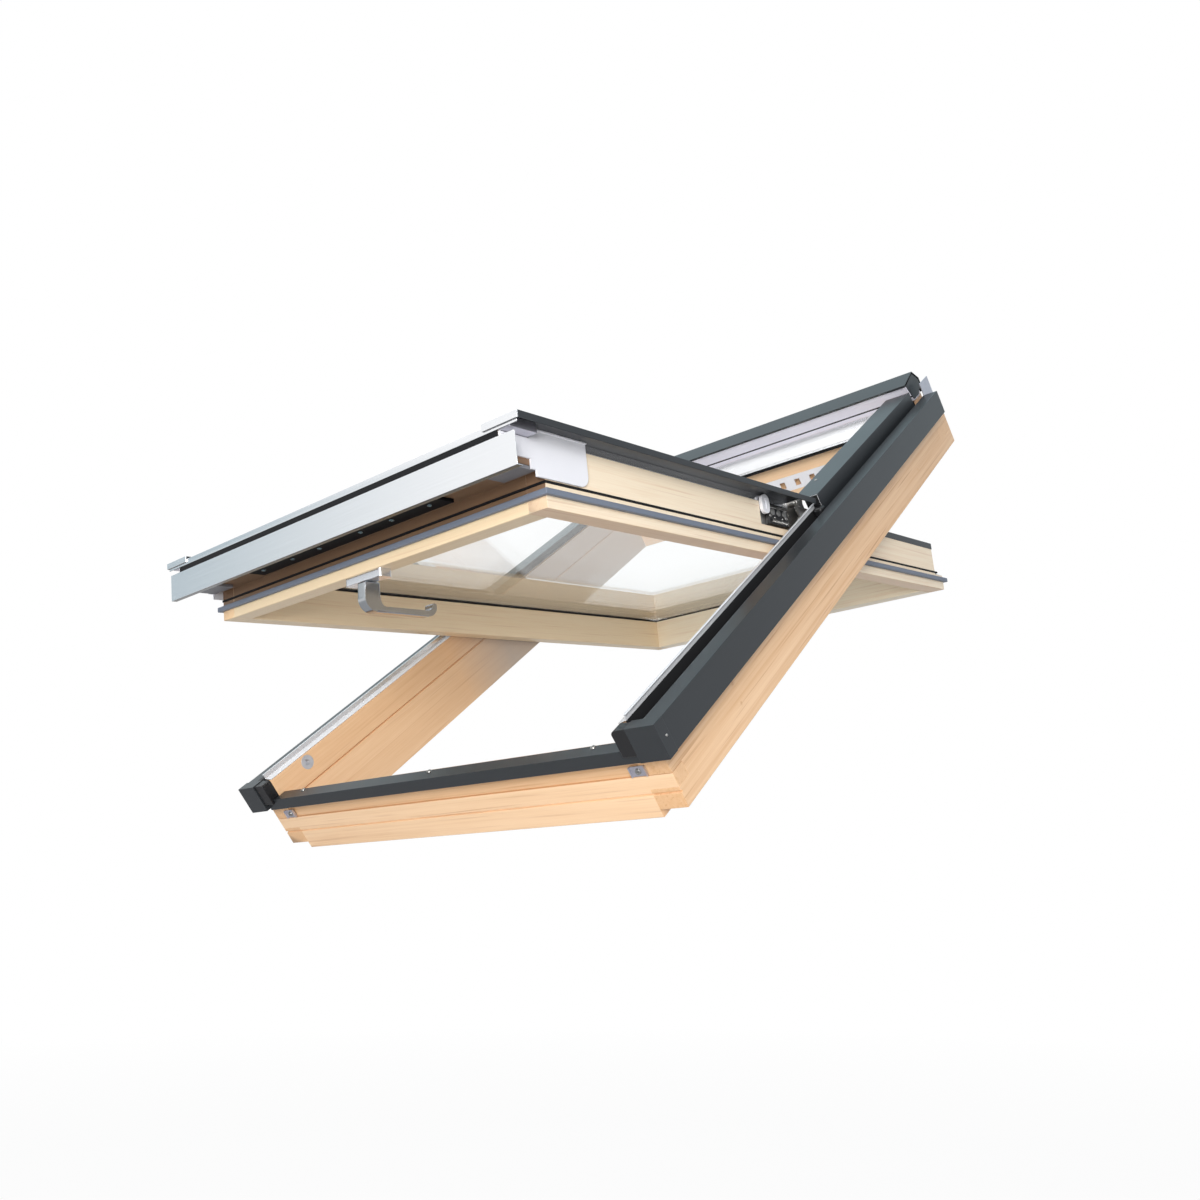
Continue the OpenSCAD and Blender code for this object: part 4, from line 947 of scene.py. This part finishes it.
class ROOFWINDOW_OT_stage(bpy.types.Operator):
    """Pale floor, soft studio light and the camera"""

    bl_idname = "roof_window.stage"
    bl_label = "Studio"

    floor_half = 60.0
    floor_colour = (0.66, 0.65, 0.64)
    floor_glow = 0.95
    floor_far = (2.5, 6.0)
    key_at, key_size = (2.2, -2.7, 0.15), 1.5
    top_at, top_size = (-0.5, -0.9, 2.8), 2.0
    sensor = 36.0
    near = 0.01

    # Where the mirrored room changes, by the parts of the ray's direction
    band_start = (0.15, 0.35)
    band_end = (0.46, 0.69)
    band_top = (0.40, 0.60)
    behind = (0.0, 0.3)
    high_up = (0.25, 0.5)
    right_side = (0.15, 0.45)

    def execute(self, context):
        studio = context.scene.window_studio
        self.floor(studio)
        self.world(studio)
        area_lamp("Key lamp", self.key_at, PIVOT, self.key_size, studio.key_power)
        area_lamp("Top lamp", self.top_at, PIVOT, self.top_size, studio.fill_power)
        self.camera(studio)
        context.scene.view_settings.view_transform = "Standard"
        return {"FINISHED"}

    def floor(self, studio):
        """A pale floor that is nearly white to the camera and keeps the object's shadow."""
        h = self.floor_half
        mesh = bpy.data.meshes.new("Floor")
        corners = [(-h, -h), (h, -h), (h, h), (-h, h)]
        mesh.from_pydata([(x, y, studio.floor_z) for x, y in corners], [], [(0, 1, 2, 3)])
        floor = bpy.data.objects.new("Floor", mesh)
        bpy.context.scene.collection.objects.link(floor)
        finish = Finish("Pale floor")
        finish.set(Base_Color=self.floor_colour, Roughness=0.9)
        glow = finish.start.node("ShaderNodeEmission", None, {"Color": WHITE, "Strength": 1.0})
        x, y, _ = finish.place.parts()
        far = ((x ** 2.0 + y ** 2.0) ** 0.5).ramp(*self.floor_far)
        rays = finish.start.node("ShaderNodeLightPath")
        seen = rays.output("Is Camera Ray") * (far * (1.0 - self.floor_glow) + self.floor_glow)
        finish.blended(seen + rays.output("Is Glossy Ray") * far, finish.start, glow)
        mesh.materials.append(finish.material)

    def world(self, studio):
        """White to the camera, even light on the object, and a graded room in what metal mirrors."""
        world = bpy.data.worlds.new("Studio")
        world.use_nodes = True
        background = world.node_tree.nodes["Background"]
        start = Wire(background.outputs[0])
        x, y, z = start.node("ShaderNodeTexCoord", out="Generated").parts()
        ahead = -y
        band = ahead.ramp(*self.band_start) * (1.0 - ahead.ramp(*self.band_end))
        band = band * (1.0 - z.ramp(*self.band_top))
        mirrored = (y.ramp(*self.behind) * z.ramp(*self.high_up)).towards(WHITE, studio.zenith)
        mirrored = band.towards(mirrored, studio.front_band)
        mirrored = x.ramp(*self.right_side).towards(mirrored, studio.dark_side)
        rays = start.node("ShaderNodeLightPath")
        colour = rays.output("Is Glossy Ray").towards(studio.ambient, mirrored)
        colour = rays.output("Is Camera Ray").towards(colour, WHITE)
        feed(background.inputs["Color"], colour)
        bpy.context.scene.world = world

    def camera(self, studio):
        """The camera, level from side to side."""
        lens = bpy.data.cameras.new("Camera")
        lens.sensor_fit = "HORIZONTAL"
        lens.sensor_width = self.sensor
        lens.lens = studio.lens
        lens.clip_start = self.near
        camera = bpy.data.objects.new("Camera", lens)
        ahead = Vector(studio.camera_to).normalized()
        right = ahead.cross(Vector((0.0, 0.0, 1.0))).normalized()
        up = right.cross(ahead)
        turn = Matrix((right, up, -ahead)).transposed()
        camera.matrix_world = Matrix.Translation(studio.camera_at) @ turn.to_4x4()
        bpy.context.scene.collection.objects.link(camera)
        bpy.context.scene.camera = camera


MAKERS = (ROOFWINDOW_OT_timber, ROOFWINDOW_OT_covers, ROOFWINDOW_OT_bright, ROOFWINDOW_OT_fittings,
          ROOFWINDOW_OT_handle, ROOFWINDOW_OT_plastics, ROOFWINDOW_OT_glass, ROOFWINDOW_OT_small_parts,
          ROOFWINDOW_OT_stage)


class ROOFWINDOW_PT_panel(bpy.types.Panel):
    """Sidebar panel of the roof window"""

    bl_label = "Roof window"
    bl_space_type = "VIEW_3D"
    bl_region_type = "UI"
    bl_category = "Roof window"

    def draw(self, context):
        for maker in MAKERS:
            self.layout.operator(maker.bl_idname)
        for group in (context.scene.window_finishes, context.scene.window_studio):
            for name in group.__annotations__:
                self.layout.prop(group, name)


CLASSES = (WindowFinishes, WindowStudio, *MAKERS, ROOFWINDOW_PT_panel)


def register():
    for cls in CLASSES:
        bpy.utils.register_class(cls)
    bpy.types.Scene.window_finishes = PointerProperty(type=WindowFinishes)
    bpy.types.Scene.window_studio = PointerProperty(type=WindowStudio)


def unregister():
    del bpy.types.Scene.window_studio
    del bpy.types.Scene.window_finishes
    for cls in reversed(CLASSES):
        bpy.utils.unregister_class(cls)


def main():
    register()
    for maker in MAKERS:
        group, name = maker.bl_idname.split(".")
        getattr(getattr(bpy.ops, group), name)()


if __name__ == "__main__":
    main()
